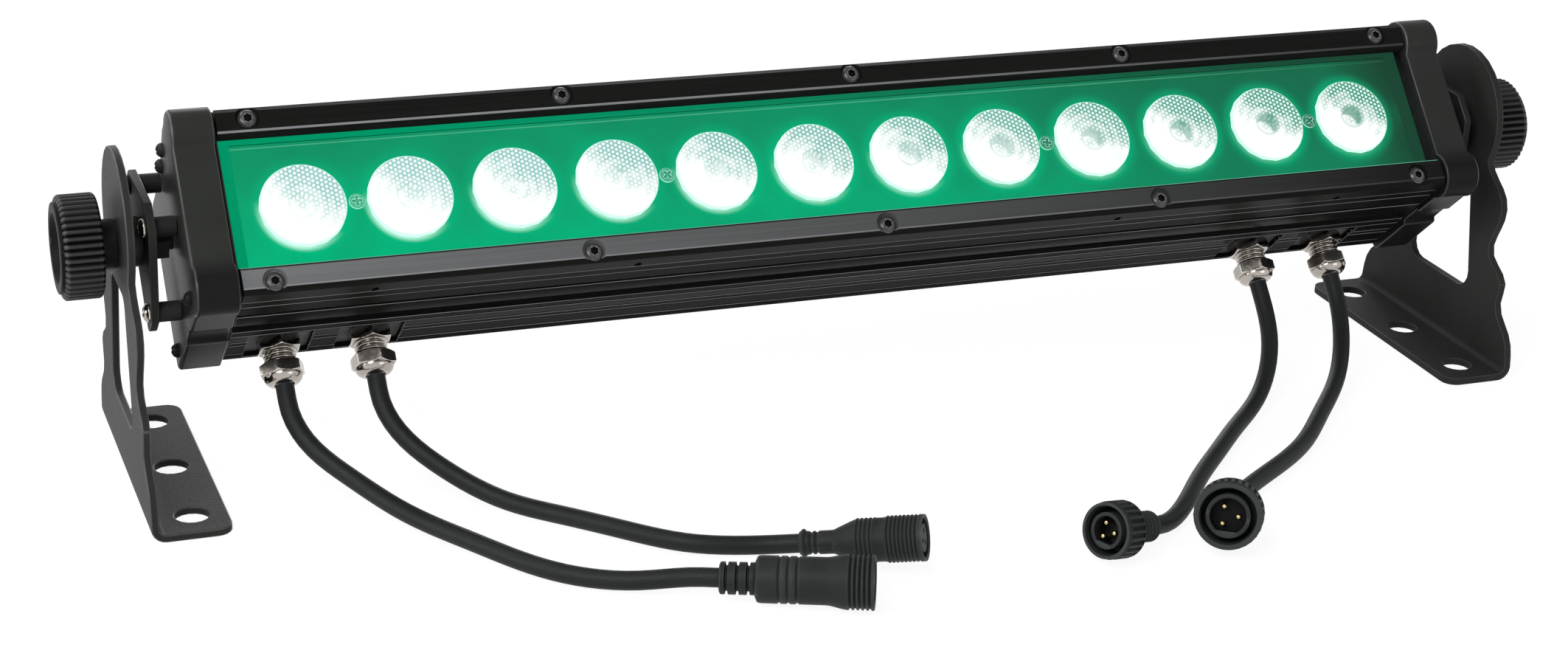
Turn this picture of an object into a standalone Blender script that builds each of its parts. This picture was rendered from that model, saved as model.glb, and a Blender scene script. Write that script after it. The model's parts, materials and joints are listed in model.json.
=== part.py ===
"""LED strip batten for stage and outdoor lighting.

A sealed aluminium bar holds twelve lensed LEDs behind glass. It tilts between two bent
sheet-steel feet on knurled knobs, and a power and a data lead leave each end of its underside.

Frame: metres, +Z up, floor at z = 0, X along the bar, -Y towards the viewer. The bar is drawn
in its own section frame, x along it, v up its face and n out of its face, under an empty on
the tilt axis that leans it back. There, x, -n and v are the empty's X, Y and Z.
"""
from collections import namedtuple
from math import acos, asin, cos, pi, radians, sin, tan

import bmesh
import bpy
import numpy as np
from mathutils import Vector

CLEAR = 0.0003  # gap between pieces that seat on or in each other

# Tilt axis
PIVOT_HEIGHT = 0.0943
TILT = radians(43)

# Optics
LENS_COUNT = 12
LENS_PITCH = 0.040
LENS_RADIUS = 0.0160
LENS_RIM = 0.003
LENS_BASE_RADIUS = 0.0070
LENS_HEIGHT = 0.0154
LENS_PROUD = 0.0016  # how far the lenses stand out of the plate round them
LENS_WELL_RADIUS = 0.0042
LENS_WELL_DEPTH = 0.0035
LENS_SIDES = 16
LENS_PLATE_THICKNESS = 0.0015
CHIP_SIDE = 0.0050
CHIP_HEIGHT = 0.0020
LED_BOARD_THICKNESS = 0.0016

# Extruded housing; levels are n values
END_MARGIN = 0.0283  # from the last lens's centre to the housing's end
HOUSING_HALF = 0.0365
HOUSING_BACK = -0.0360
HOUSING_CORNER = 0.0015
SHOULDER = 0.0135  # where the top side starts to slope in
CREST = -0.0085  # where the slope ends
CREST_INSET = 0.0090  # from the housing's side in to the top behind the slope
WEB_FRONT = 0.0040
WEB_THICKNESS = 0.0030
SEAT_WALL = 0.0055  # beside the glass
LEDGE_WIDTH = 0.0050  # under the glass's seal
RIM_HEIGHT = 0.0022  # from the ledge
NECK_WALL = 0.0085  # behind the deep groove
NECK_END = -0.0085
SIDE_WALL = 0.0040
REAR_WALL = 0.0030
Groove = namedtuple("Groove", "centre width depth")
GROOVES = (
    Groove(0.0177, 0.0007, 0.0006),
    Groove(0.0092, 0.0027, 0.0016),
    Groove(-0.0039, 0.0068, 0.0040),
    Groove(-0.0114, 0.0011, 0.0009),
    Groove(-0.0177, 0.0011, 0.0009),
    Groove(-0.0209, 0.0011, 0.0009),
    Groove(-0.0294, 0.0011, 0.0009),
)

# Glass, its gasket and the strips that clamp it
GLASS_THICKNESS = 0.0040
GLASS_GASKET_THICKNESS = 0.0014
GLASS_GASKET_WIDTH = 0.0043
STRIP_LAP = 0.0059  # from the glass's seat in to the lip
STRIP_SLOPE = 0.0024  # from the lip to the flat
STRIP_RISE = 0.0050  # of the flat over the glass
STRIP_BEVEL = (0.0020, 0.0017)  # across the face and down the side

# Driver board in the rear chamber
DRIVER_LENGTH = 0.380
DRIVER_GAP = 0.0020  # to the chamber's wall
DRIVER_POST = 0.0030
DRIVER_THICKNESS = 0.0016
Component = namedtuple("Component", "place half_length half_width height")
DRIVER_COMPONENTS = (
    Component(-0.130, 0.022, 0.017, 0.014), Component(-0.060, 0.010, 0.010, 0.012),
    Component(-0.020, 0.010, 0.010, 0.012), Component(0.045, 0.030, 0.006, 0.014),
    Component(0.120, 0.012, 0.012, 0.010),
)

# End caps
CAP_GASKET_THICKNESS = 0.0006
CAP_LENGTH = 0.0156
CAP_RISE = 0.0025  # of the flat over the glass
BARREL_INSET = (0.0060, 0.0030)  # from the housing's side and from the glass's front
BARREL_RADIUS = 0.0095
CAP_COVER = 0.0020  # how far the cap stands over the housing's sides and slope
SKIRT_END = 0.0040
WAIST_COVER = 0.0006
WAIST_END = -0.0090
WAIST_SLOPE = 0.0012
HEEL_COVER = 0.0025
BACK_COVER = 0.0005
HEEL_CORNER = 0.0030
CAP_BEVEL = 0.0012
CAP_WALL = (0.0035, 0.0060, 0.0030)  # round the hollow: from the top, the housing's back and the ledge
CAP_FLOOR = 0.0050

# End plates, on three spacers each
STANDOFF_LENGTH = 0.0081
STANDOFF_RADIUS = 0.00375
STANDOFF_INSET = 0.0020  # of the rear two from the top behind the slope
STANDOFF_LEVELS = (0.0120, -0.0070)
PLATE_THICKNESS = 0.0030
PLATE_NOSE = (0.0060, 0.0205)
PLATE_EAR = 0.0050  # beyond the rear spacers
PLATE_LEVELS = (-0.0040, -0.0150)
PLATE_CORNER = 0.0025

# Tilt hardware
STUD_RADIUS = 0.0040
STUD_GRIP = 0.0140  # how far the stud runs into the knob
NUT_FLATS = 0.0130
NUT_HEIGHT = 0.0060
WASHER_RADIUS = 0.0092
WASHER_THICKNESS = 0.0056
COLLAR_RADIUS = 0.0092
COLLAR_LENGTH = 0.0057
KNOB_RADIUS = 0.0193
KNOB_LENGTH = 0.0142
KNOB_BEVEL = 0.0012
KNOB_RIM_RADIUS = 0.0168
KNOB_RIM_HEIGHT = 0.0013
KNOB_DISH_RADIUS = 0.0132
KNOB_DISH_DEPTH = 0.0045
KNOB_BOSS_RADIUS = 0.0062
KNOB_BOSS_HEIGHT = 0.0022

# Feet: sheet steel, the base turned inwards under the arm
SHEET = 0.0030
BEND_RADIUS = 0.0055  # outside of the bend
FOOT_HALF_DEPTH = 0.0575
FOOT_BASE = 0.0300
FOOT_CORNER = 0.0060
HEAD_RADIUS = 0.0290
HEAD_RISE = 0.0070
HEAD_TURN = radians(-28)
NECK_EDGE = ((0.0262, -0.0085), (0.0390, -0.0200), (0.0402, -0.0260))  # half depth, from the pivot
FLOOR_EDGE = (
    (0.0352, 0.0483), (0.0462, 0.0393), (0.0448, 0.0293), (0.0545, 0.0173), (0.0570, 0.0100),
)  # half depth, from the floor
SCALLOP_STEP = 0.0048
WINDOW_TOP = (0.0150, -0.0160)  # half depth, from the pivot
WINDOW_FOOT = (0.0240, 0.0283)  # half depth, from the floor
WINDOW_CORNERS = (0.0050, 0.0070)
BASE_HOLE_RADIUS = 0.00635
BASE_HOLE_SPACING = 0.0430
BASE_HOLE_INSET = 0.0130  # from the base's inner edge

# Cable glands, along -v in pockets milled into the underside
GLAND_N = -0.0240
POCKET_DEPTH = 0.0025
POCKET_HALF_LENGTH = 0.0122
POCKET_N = (-0.0335, -0.0130)
SPIGOT_RADIUS = 0.0050
GLAND_FLATS = 0.0150
GLAND_HEX = 0.0050
GLAND_THREAD_RADIUS = 0.00625
GLAND_THREAD = 0.0077
GLAND_NUT_FLATS = 0.0150
GLAND_NUT_HEX = 0.0043
GLAND_NUT_DOME = 0.0039
GLAND_NUT_FACE = 0.0046
GLAND_OVERLAP = 0.0027  # thread hidden inside the nut

# Leads
CABLE_RADIUS = 0.0035
CABLE_STEP = 0.0140
CABLE_LEAD = 0.0060  # straight at each end of a cable
PIN_RADIUS = 0.0008
PIN_LENGTH = 0.0060
Socket = namedtuple("Socket", "relief_radius relief body_radius shoulder flare body thread_radius thread")
Plug = namedtuple("Plug", "relief_radius relief neck sleeve_radius sleeve sleeve_wall ring_radius ring well")
POWER_SOCKET = Socket(0.0058, 0.0127, 0.00845, 0.0012, 0.0065, 0.0247, 0.0099, 0.0098)
DATA_SOCKET = Socket(0.00415, 0.0129, 0.0081, 0.0080, 0.0010, 0.0102, 0.00855, 0.0139)
POWER_PLUG = Plug(0.0060, 0.0135, 0.0068, 0.0082, 0.0085, 0.0015, 0.01285, 0.0125, 0.0078)
DATA_PLUG = Plug(0.00585, 0.0125, 0.0063, 0.0068, 0.0075, 0.0014, 0.01075, 0.0117, 0.0068)
Lead = namedtuple("Lead", "side inset back azimuth elevation route")
# A gland lies that far in from the housing's end. A route's first values are shares of the way along
# the bar from the gland to the connector's back
LEADS = {
    "power_out": Lead(-1, 0.0193, (-0.1041, -0.1523, 0.0078), radians(-25.8), radians(2.9), (
        (0.0464, -0.0380, 0.0220), (0.1345, -0.0495, 0.0140), (0.2578, -0.0700, 0.0073),
        (0.4123, -0.0970, 0.0050), (0.5845, -0.1245, 0.0040), (0.7966, -0.1415, 0.0050))),
    "data_out": Lead(-1, 0.0538, (-0.0656, -0.1319, 0.0062), radians(-32.3), radians(10.8), (
        (0.0310, -0.0345, 0.0240), (0.1319, -0.0490, 0.0135), (0.2870, -0.0670, 0.0052),
        (0.4112, -0.0815, 0.0042), (0.5547, -0.1000, 0.0044), (0.7099, -0.1175, 0.0045))),
    "data_in": Lead(1, 0.0663, (0.0628, -0.1558, 0.0071), radians(205), radians(14), (
        (0.0252, -0.0375, 0.0220), (0.1468, -0.0580, 0.0080), (0.3230, -0.0775, 0.0042),
        (0.4866, -0.0975, 0.0041), (0.6460, -0.1175, 0.0041), (0.7928, -0.1380, 0.0042))),
    "power_in": Lead(1, 0.0313, (0.1013, -0.1499, 0.0081), radians(236), radians(16), (
        (0.0346, -0.0380, 0.0215), (0.1469, -0.0585, 0.0105), (0.3025, -0.0780, 0.0060),
        (0.4624, -0.0975, 0.0041), (0.6439, -0.1145, 0.0041), (0.8384, -0.1300, 0.0042))),
}

# What follows from the sizes above
HOUSING_END = (LENS_COUNT - 1) * LENS_PITCH / 2 + END_MARGIN
WEB_BACK = WEB_FRONT - WEB_THICKNESS
CREST_HALF = HOUSING_HALF - CREST_INSET
SEAT_HALF = HOUSING_HALF - SEAT_WALL
LIGHT_BOX_HALF = SEAT_HALF - LEDGE_WIDTH
REAR_BOX = (SIDE_WALL - HOUSING_HALF, CREST_HALF - SIDE_WALL)
BOARD_FRONT = WEB_FRONT + CLEAR + LED_BOARD_THICKNESS
LENS_BACK = BOARD_FRONT + CLEAR
LENS_FRONT = LENS_BACK + LENS_HEIGHT
LEDGE = LENS_FRONT - LENS_PROUD
RIM = LEDGE + RIM_HEIGHT
GLASS_BACK = LEDGE + CLEAR + GLASS_GASKET_THICKNESS + CLEAR
GLASS_FRONT = GLASS_BACK + GLASS_THICKNESS
STRIP_LIP = SEAT_HALF - STRIP_LAP
STRIP_FACE = GLASS_FRONT + STRIP_RISE
CAP_FLAT = GLASS_FRONT + CAP_RISE
CAP_HOLLOW_HALF = CREST_HALF - CAP_WALL[0]
CAP_HOLLOW = (HOUSING_BACK + CAP_WALL[1], LEDGE - CAP_WALL[2])
STANDOFF_HALF = CREST_HALF - STANDOFF_INSET
STANDOFFS = {
    "front": (0.0, STANDOFF_LEVELS[0]), "upper": (STANDOFF_HALF, STANDOFF_LEVELS[1]),
    "lower": (-STANDOFF_HALF, STANDOFF_LEVELS[1]),
}
CAP_IN = HOUSING_END + CLEAR + CAP_GASKET_THICKNESS + CLEAR
CAP_OUT = CAP_IN + CAP_LENGTH
PLATE_IN = CAP_OUT + CLEAR + STANDOFF_LENGTH + CLEAR
PLATE_OUT = PLATE_IN + PLATE_THICKNESS
FOOT_IN = PLATE_OUT + CLEAR + WASHER_THICKNESS + CLEAR
FOOT_OUT = FOOT_IN + SHEET
KNOB_IN = FOOT_OUT + CLEAR
STUD_HOLE = STUD_RADIUS + CLEAR
POCKET_FLOOR = POCKET_DEPTH - HOUSING_HALF
GLAND_SEAT = -POCKET_FLOOR + CLEAR
GLAND_NUT_IN = GLAND_SEAT + GLAND_HEX + GLAND_THREAD - GLAND_OVERLAP
GLAND_NUT_OUT = GLAND_NUT_IN + GLAND_NUT_HEX + GLAND_NUT_DOME
ROUND = 24


def arc(centre, radius, start, end, steps):
    """Points on an arc of a circle, both ends included."""
    angles = np.linspace(start, end, steps + 1)
    return [(centre[0] + radius * cos(a), centre[1] + radius * sin(a)) for a in angles]


def circle(centre, radius, steps=16):
    """A closed ring of points."""
    return arc(centre, radius, 0.0, 2 * pi, steps)[:-1]


def rectangle(low, high):
    """The four corners of an upright rectangle."""
    return [(low[0], low[1]), (high[0], low[1]), (high[0], high[1]), (low[0], high[1])]


def rounded(corners, radii, steps=4):
    """A closed outline whose corners turn on arcs, one radius for each corner."""
    outline = []
    for index, radius in enumerate(radii):
        here = Vector(corners[index])
        back = (Vector(corners[index - 1]) - here).normalized()
        ahead = (Vector(corners[(index + 1) % len(corners)]) - here).normalized()
        half = acos(back.dot(ahead)) / 2
        centre = here + (back + ahead).normalized() * radius / sin(half)
        first = here + back * radius / tan(half) - centre
        last = here + ahead * radius / tan(half) - centre
        turn = first.angle_signed(last)
        start = Vector((1, 0)).angle_signed(first)
        outline += arc(centre, radius, -start, -start - turn, steps)
    return outline


def mirrored(half):
    """A closed outline from its half at positive first coordinates."""
    return half + [(-a, b) for a, b in reversed(half)]


def through(points, leave, arrive, spacing):
    """Points at an even spacing on the cubic spline through the given points, which starts and ends
    in the given directions and bends without a break between."""
    knots = np.array(points, float)
    steps = np.linalg.norm(np.diff(knots, axis=0), axis=1)
    system = np.eye(len(knots))
    slopes = np.zeros_like(knots)
    slopes[0], slopes[-1] = leave, arrive
    for k in range(1, len(knots) - 1):
        before, after = steps[k - 1], steps[k]
        system[k, k - 1:k + 2] = after, 2 * (before + after), before
        back, ahead = knots[k] - knots[k - 1], knots[k + 1] - knots[k]
        slopes[k] = 3 * (after / before * back + before / after * ahead)
    slopes = np.linalg.solve(system, slopes)
    t = np.linspace(0, 1, 17)[1:, None]
    curve = [knots[:1]]
    for k, step in enumerate(steps):
        rise = t * t * (3 - 2 * t)
        bow = slopes[k] * t * (1 - t) ** 2 - slopes[k + 1] * t * t * (1 - t)
        curve.append(knots[k] * (1 - rise) + knots[k + 1] * rise + step * bow)
    curve = np.vstack(curve)
    along = np.concatenate([[0], np.cumsum(np.linalg.norm(np.diff(curve, axis=0), axis=1))])
    stops = np.linspace(0, along[-1], max(2, round(along[-1] / spacing)) + 1)
    return np.column_stack([np.interp(stops, along, axis) for axis in curve.T])


def section(v, n, x):
    """A point of the bar's section at a place along it, in the frame of the tilt empty."""
    return (x, -n, v)


def outward(bm):
    """The same closed bmesh with every face pointing out."""
    bmesh.ops.recalc_face_normals(bm, faces=bm.faces[:])
    if bm.calc_volume(signed=True) < 0:
        bmesh.ops.reverse_faces(bm, faces=bm.faces[:])
    return bm


def prism(loops, near, far, at):
    """What lies inside the first loop and outside the others, extruded from one depth to another."""
    bm = bmesh.new()
    rings = [[bm.verts.new(at(a, b, near)) for a, b in loop] for loop in loops]
    if len(rings) == 1:
        bm.faces.new(rings[0])
    else:
        for ring in rings:
            for here, there in zip(ring, ring[1:] + ring[:1]):
                bm.edges.new((here, there))
        bmesh.ops.triangle_fill(bm, use_beauty=True, edges=bm.edges[:])
    grown = bmesh.ops.extrude_face_region(bm, geom=bm.faces[:])["geom"]
    moved = [item for item in grown if isinstance(item, bmesh.types.BMVert)]
    step = Vector(at(0, 0, far)) - Vector(at(0, 0, near))
    bmesh.ops.translate(bm, vec=step, verts=moved)
    return outward(bm)


def block(low, high):
    """A box between two corners."""
    return prism([rectangle(low, high)], low[2], high[2], lambda a, b, h: (a, b, h))


def lathe(profile, steps=ROUND, closed=False):
    """A solid turned about Z from (radius, height) points. A third value gives a ring that many flats."""
    bm = bmesh.new()
    rings = []
    for radius, height, *flats in profile:
        if radius == 0:
            rings.append([bm.verts.new((0, 0, height))])
            continue
        ring = []
        for a in (2 * pi * k / steps for k in range(steps)):
            wide = radius / cos((a % (2 * pi / flats[0])) - pi / flats[0]) if flats else radius
            ring.append(bm.verts.new((wide * cos(a), wide * sin(a), height)))
        rings.append(ring)
    pairs = list(zip(rings, rings[1:])) + ([(rings[-1], rings[0])] if closed else [])
    for one, two in pairs:
        for k in range(steps):
            after = (k + 1) % steps
            corners = [one[k % len(one)], one[after % len(one)], two[after % len(two)], two[k % len(two)]]
            bm.faces.new(list(dict.fromkeys(corners)))
    return outward(bm)


def together(parts):
    """Several closed shells in one bmesh."""
    whole = bmesh.new()
    for part in parts:
        shell = bpy.data.meshes.new("shell")
        part.to_mesh(shell)
        part.free()
        whole.from_mesh(shell)
        bpy.data.meshes.remove(shell)
    return whole


def shifted(bm, offset):
    """The same bmesh, moved."""
    bmesh.ops.translate(bm, vec=Vector(offset), verts=bm.verts[:])
    return bm


def material(name, colour, metallic, roughness):
    """A plain Principled material."""
    made = bpy.data.materials.new(name)
    made.use_nodes = True
    shader = made.node_tree.nodes["Principled BSDF"]
    shader.inputs["Base Color"].default_value = (*colour, 1.0)
    shader.inputs["Metallic"].default_value = metallic
    shader.inputs["Roughness"].default_value = roughness
    made.diffuse_color = (*colour, 1.0)
    return made


def add(name, bm, finish, parent=None, location=(0, 0, 0), rotation=(0, 0, 0), sharp=radians(35)):
    """A named object from a bmesh, shaded smooth up to the given angle."""
    mesh = bpy.data.meshes.new(name)
    bm.to_mesh(mesh)
    bm.free()
    mesh.shade_smooth()
    mesh.set_sharp_from_angle(angle=sharp)
    mesh.materials.append(finish)
    made = bpy.data.objects.new(name, mesh)
    made.parent = parent
    made.location = location
    made.rotation_euler = rotation
    bpy.context.scene.collection.objects.link(made)
    return made


def empty(name, location, rotation):
    """An axis that pieces are parented to."""
    made = bpy.data.objects.new(name, None)
    made.location = location
    made.rotation_euler = rotation
    bpy.context.scene.collection.objects.link(made)
    return made


def combine(target, bm, operation):
    """A Boolean of the target with a wire-drawn tool that shares its frame."""
    tool = add(f"{target.name}_tool", bm, target.data.materials[0], target.parent, target.location,
               target.rotation_euler)
    tool.hide_render = True
    tool.display_type = "WIRE"
    change = target.modifiers.new(operation.lower(), "BOOLEAN")
    change.operation = operation
    change.object = tool


def flank(half, grooves):
    """One side of the housing's section from front to back: grooves, then the rear corner."""
    points = []
    for centre, width, depth in grooves:
        slope = min(width / 4, depth / 2)
        points += [
            (half, centre + width / 2), (half - depth, centre + width / 2 - slope),
            (half - depth, centre - width / 2 + slope), (half, centre - width / 2),
        ]
    corner = (half - HOUSING_CORNER, HOUSING_BACK + HOUSING_CORNER)
    return points + arc(corner, HOUSING_CORNER, 0, -pi / 2, 3)


def housing_loops():
    """The extrusion's outer line, open to the light box in front, and its closed rear chamber. The
    underside is upright and the top slopes in behind the shoulder."""
    front = [
        (LIGHT_BOX_HALF, WEB_FRONT), (LIGHT_BOX_HALF, LEDGE), (SEAT_HALF, LEDGE), (SEAT_HALF, RIM),
        (HOUSING_HALF, RIM),
    ]
    rear = [groove for groove in GROOVES if groove.centre + groove.width < CREST]
    top = front + [(HOUSING_HALF, SHOULDER), (CREST_HALF, CREST)] + flank(CREST_HALF, rear)
    bottom = [(-v, n) for v, n in front + flank(HOUSING_HALF, GROOVES)]
    low, high = REAR_BOX
    neck = NECK_WALL - HOUSING_HALF
    back = HOUSING_BACK + REAR_WALL
    chamber = [
        (high, WEB_BACK), (high, back), (low, back), (low, NECK_END + low - neck), (neck, NECK_END),
        (neck, WEB_BACK),
    ]
    return [top + bottom[::-1], chamber]


def strip_loop(side):
    """A retaining strip's section: foot on the housing rim, lip over the glass."""
    lip = GLASS_FRONT + CLEAR
    points = (
        (HOUSING_HALF, RIM + CLEAR), (HOUSING_HALF, STRIP_FACE - STRIP_BEVEL[1]),
        (HOUSING_HALF - STRIP_BEVEL[0], STRIP_FACE), (STRIP_LIP + STRIP_SLOPE, STRIP_FACE),
        (STRIP_LIP, lip), (SEAT_HALF, lip), (SEAT_HALF, RIM + CLEAR),
    )
    return [[(side * v, n) for v, n in points]]


def cap_loop():
    """An end cap's outline: a barrel at each front edge, a waist and a square heel below, and the
    housing's slope followed above."""
    start = pi - asin((CAP_RISE + BARREL_INSET[1]) / BARREL_RADIUS)
    end = -acos((CAP_COVER + BARREL_INSET[0]) / BARREL_RADIUS)
    centre = (HOUSING_HALF - BARREL_INSET[0], GLASS_FRONT - BARREL_INSET[1])
    barrel = arc(centre, BARREL_RADIUS, start, end, 12)
    skirt, waist, heel = (HOUSING_HALF + cover for cover in (CAP_COVER, WAIST_COVER, HEEL_COVER))
    crest = CREST_HALF + CAP_COVER
    back = HOUSING_BACK - BACK_COVER + HEEL_CORNER
    top = barrel + [(skirt, SHOULDER), (crest, CREST)]
    top += arc((crest - HEEL_CORNER, back), HEEL_CORNER, 0, -pi / 2, 3)
    bottom = barrel + [
        (skirt, SKIRT_END), (waist, SKIRT_END - WAIST_SLOPE), (waist, WAIST_END + WAIST_SLOPE),
        (heel, WAIST_END),
    ]
    bottom += arc((heel - HEEL_CORNER, back), HEEL_CORNER, 0, -pi / 2, 3)
    return top + [(-v, n) for v, n in reversed(bottom)]


def bevelled_cap(side):
    """The cap's solid, its outer end face bevelled all round."""
    bm = prism([cap_loop()], side * CAP_IN, side * CAP_OUT, section)
    rim = [edge for edge in bm.edges if all(abs(vert.co.x) > CAP_OUT - CLEAR for vert in edge.verts)]
    bmesh.ops.bevel(bm, geom=rim, offset=CAP_BEVEL, segments=2, profile=0.5, affect="EDGES")
    return bm


def foot_loops():
    """The foot's flat sheet: half depth against the distance down the sheet from the bend's start."""
    half = arc((0, PIVOT_HEIGHT + HEAD_RISE), HEAD_RADIUS, pi / 2, HEAD_TURN, 9)[1:]
    edge = half[-1:] + [(y, PIVOT_HEIGHT + up) for y, up in NECK_EDGE] + list(FLOOR_EDGE)
    edge.append((FOOT_HALF_DEPTH, BEND_RADIUS))
    leave = (sin(HEAD_TURN), -cos(HEAD_TURN))
    half += [tuple(point) for point in through(edge, leave, (0, -1), SCALLOP_STEP)[1:]]
    half = [(0.0, PIVOT_HEIGHT + HEAD_RISE + HEAD_RADIUS)] + half
    half = [(y, BEND_RADIUS - up) for y, up in half]
    tip = bend_length() + FOOT_BASE - BEND_RADIUS
    half += arc((FOOT_HALF_DEPTH - FOOT_CORNER, tip - FOOT_CORNER), FOOT_CORNER, 0, pi / 2, 5)
    outline = half + [(-y, s) for y, s in reversed(half[1:])]
    pivot = BEND_RADIUS - PIVOT_HEIGHT
    top = pivot - WINDOW_TOP[1]
    foot = BEND_RADIUS - WINDOW_FOOT[1]
    corners = [(WINDOW_TOP[0], top), (WINDOW_FOOT[0], foot), (-WINDOW_FOOT[0], foot), (-WINDOW_TOP[0], top)]
    window = rounded(corners, (WINDOW_CORNERS[0], WINDOW_CORNERS[1], WINDOW_CORNERS[1], WINDOW_CORNERS[0]))
    holes = [circle((k * BASE_HOLE_SPACING, tip - BASE_HOLE_INSET), BASE_HOLE_RADIUS) for k in (-1, 0, 1)]
    return [outline, window, circle((0, pivot), STUD_HOLE)] + holes


def bend_length():
    """The length of the bend along the middle of the sheet."""
    return (BEND_RADIUS - SHEET / 2) * pi / 2


def folded(y, down, depth):
    """A point of the flat sheet after the bend, with the depth measured in from its outer face."""
    if down <= 0:
        return (FOOT_OUT - depth, y, BEND_RADIUS - down - PIVOT_HEIGHT)
    if down >= bend_length():
        return (FOOT_OUT - BEND_RADIUS - (down - bend_length()), y, depth - PIVOT_HEIGHT)
    angle = down / (BEND_RADIUS - SHEET / 2)
    radius = BEND_RADIUS - depth
    return (FOOT_OUT - BEND_RADIUS + radius * cos(angle), y, BEND_RADIUS - radius * sin(angle) - PIVOT_HEIGHT)


def bent_foot(side):
    """The flat sheet with its holes, scored along the bend and folded."""
    bm = prism(foot_loops(), 0, SHEET, lambda y, down, depth: (y, down, depth))
    for score in np.linspace(0, bend_length(), 6):
        bmesh.ops.bisect_plane(bm, geom=bm.verts[:] + bm.edges[:] + bm.faces[:], dist=1e-6,
                               plane_co=(0, score, 0), plane_no=(0, 1, 0))
    for vert in bm.verts:
        x, y, z = folded(*vert.co)
        vert.co = (side * x, y, z)
    return outward(bm)


def lens_solid():
    """A collimator: a cone that widens to a rim, with a well for the LED and a dimple in front."""
    return lathe((
        (0, LENS_BACK + LENS_WELL_DEPTH), (LENS_WELL_RADIUS, LENS_BACK + LENS_WELL_DEPTH),
        (LENS_WELL_RADIUS, LENS_BACK), (LENS_BASE_RADIUS, LENS_BACK),
        (LENS_RADIUS, LENS_FRONT - LENS_RIM), (LENS_RADIUS, LENS_FRONT), (LENS_WELL_RADIUS, LENS_FRONT),
        (LENS_WELL_RADIUS * 0.75, LENS_FRONT - LENS_RIM), (0, LENS_FRONT - LENS_RIM),
    ), LENS_SIDES)


def knob_solid():
    """A knob turned about its stud: collar, grip, and a dished outer face with a boss."""
    grip = KNOB_IN + COLLAR_LENGTH
    rim = grip + KNOB_LENGTH
    face = rim + KNOB_RIM_HEIGHT
    dish = face - KNOB_DISH_DEPTH
    bore = KNOB_IN + STUD_GRIP
    return lathe((
        (0, bore), (STUD_HOLE, bore), (STUD_HOLE, KNOB_IN), (COLLAR_RADIUS, KNOB_IN), (COLLAR_RADIUS, grip),
        (KNOB_RADIUS - KNOB_BEVEL, grip), (KNOB_RADIUS, grip + KNOB_BEVEL), (KNOB_RADIUS, rim - KNOB_BEVEL),
        (KNOB_RADIUS - KNOB_BEVEL, rim), (KNOB_RIM_RADIUS, rim), (KNOB_RIM_RADIUS, face),
        (KNOB_DISH_RADIUS, face), (KNOB_BOSS_RADIUS * 1.4, dish), (KNOB_BOSS_RADIUS, dish),
        (KNOB_BOSS_RADIUS, dish + KNOB_BOSS_HEIGHT), (0, dish + KNOB_BOSS_HEIGHT),
    ), 20)


def ring_solid(bore, radius, low, high, steps=ROUND):
    """A plain ring about Z."""
    return lathe(((bore, low), (radius, low), (radius, high), (bore, high)), steps, closed=True)


def gland_body():
    """Spigot through the wall, hexagon on the pocket's floor and the thread below it."""
    low = GLAND_SEAT + GLAND_HEX
    return lathe((
        (0, -REAR_BOX[0] - CLEAR), (SPIGOT_RADIUS, -REAR_BOX[0] - CLEAR), (SPIGOT_RADIUS, GLAND_SEAT),
        (GLAND_FLATS / 2, GLAND_SEAT, 6), (GLAND_FLATS / 2, low, 6), (GLAND_THREAD_RADIUS, low),
        (GLAND_THREAD_RADIUS, low + GLAND_THREAD), (0, low + GLAND_THREAD),
    ), 18)


def gland_nut():
    """A hexagon cup over the thread, drawn in to a dome where the cable leaves."""
    bore = GLAND_THREAD_RADIUS + CLEAR
    dome = GLAND_NUT_IN + GLAND_NUT_HEX
    floor = GLAND_NUT_IN + GLAND_OVERLAP + CLEAR
    wide = GLAND_NUT_FLATS / 2
    return lathe((
        (0, floor), (bore, floor), (bore, GLAND_NUT_IN), (wide, GLAND_NUT_IN, 6), (wide, dome, 6),
        (wide * 0.95, dome + GLAND_NUT_DOME * 0.45), (GLAND_NUT_FACE, GLAND_NUT_OUT), (0, GLAND_NUT_OUT),
    ), 18)


def ribbed_relief(radius, length, ribs):
    """The strain relief's profile: ribs of equal length with grooves between them."""
    pitch = length / ribs
    profile = [(0, 0)]
    for k in range(ribs):
        low, high = k * pitch, (k + 0.62) * pitch
        profile += [(radius, low), (radius, high), (radius * 0.82, high), (radius * 0.82, (k + 1) * pitch)]
    return profile


def socket_solid(size, mate):
    """A socket from its cable end to its face, with a ring-shaped slot for the plug's sleeve."""
    neck = size.relief + size.shoulder
    flare = neck + size.body
    thread = flare + size.flare
    face = thread + size.thread
    slot_out = mate.sleeve_radius + CLEAR
    slot_in = mate.sleeve_radius - mate.sleeve_wall - CLEAR
    return lathe(ribbed_relief(size.relief_radius, size.relief, 3) + [
        (size.body_radius, neck), (size.body_radius, flare), (size.thread_radius, thread),
        (size.thread_radius, face), (slot_out, face), (slot_out, face - mate.well),
        (slot_in, face - mate.well), (slot_in, face - CLEAR), (0, face - CLEAR),
    ], 16)


def plug_length(size):
    """From the plug's cable end to the front of its coupling ring."""
    return size.relief + size.ring + 2 * size.sleeve_wall


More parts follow.
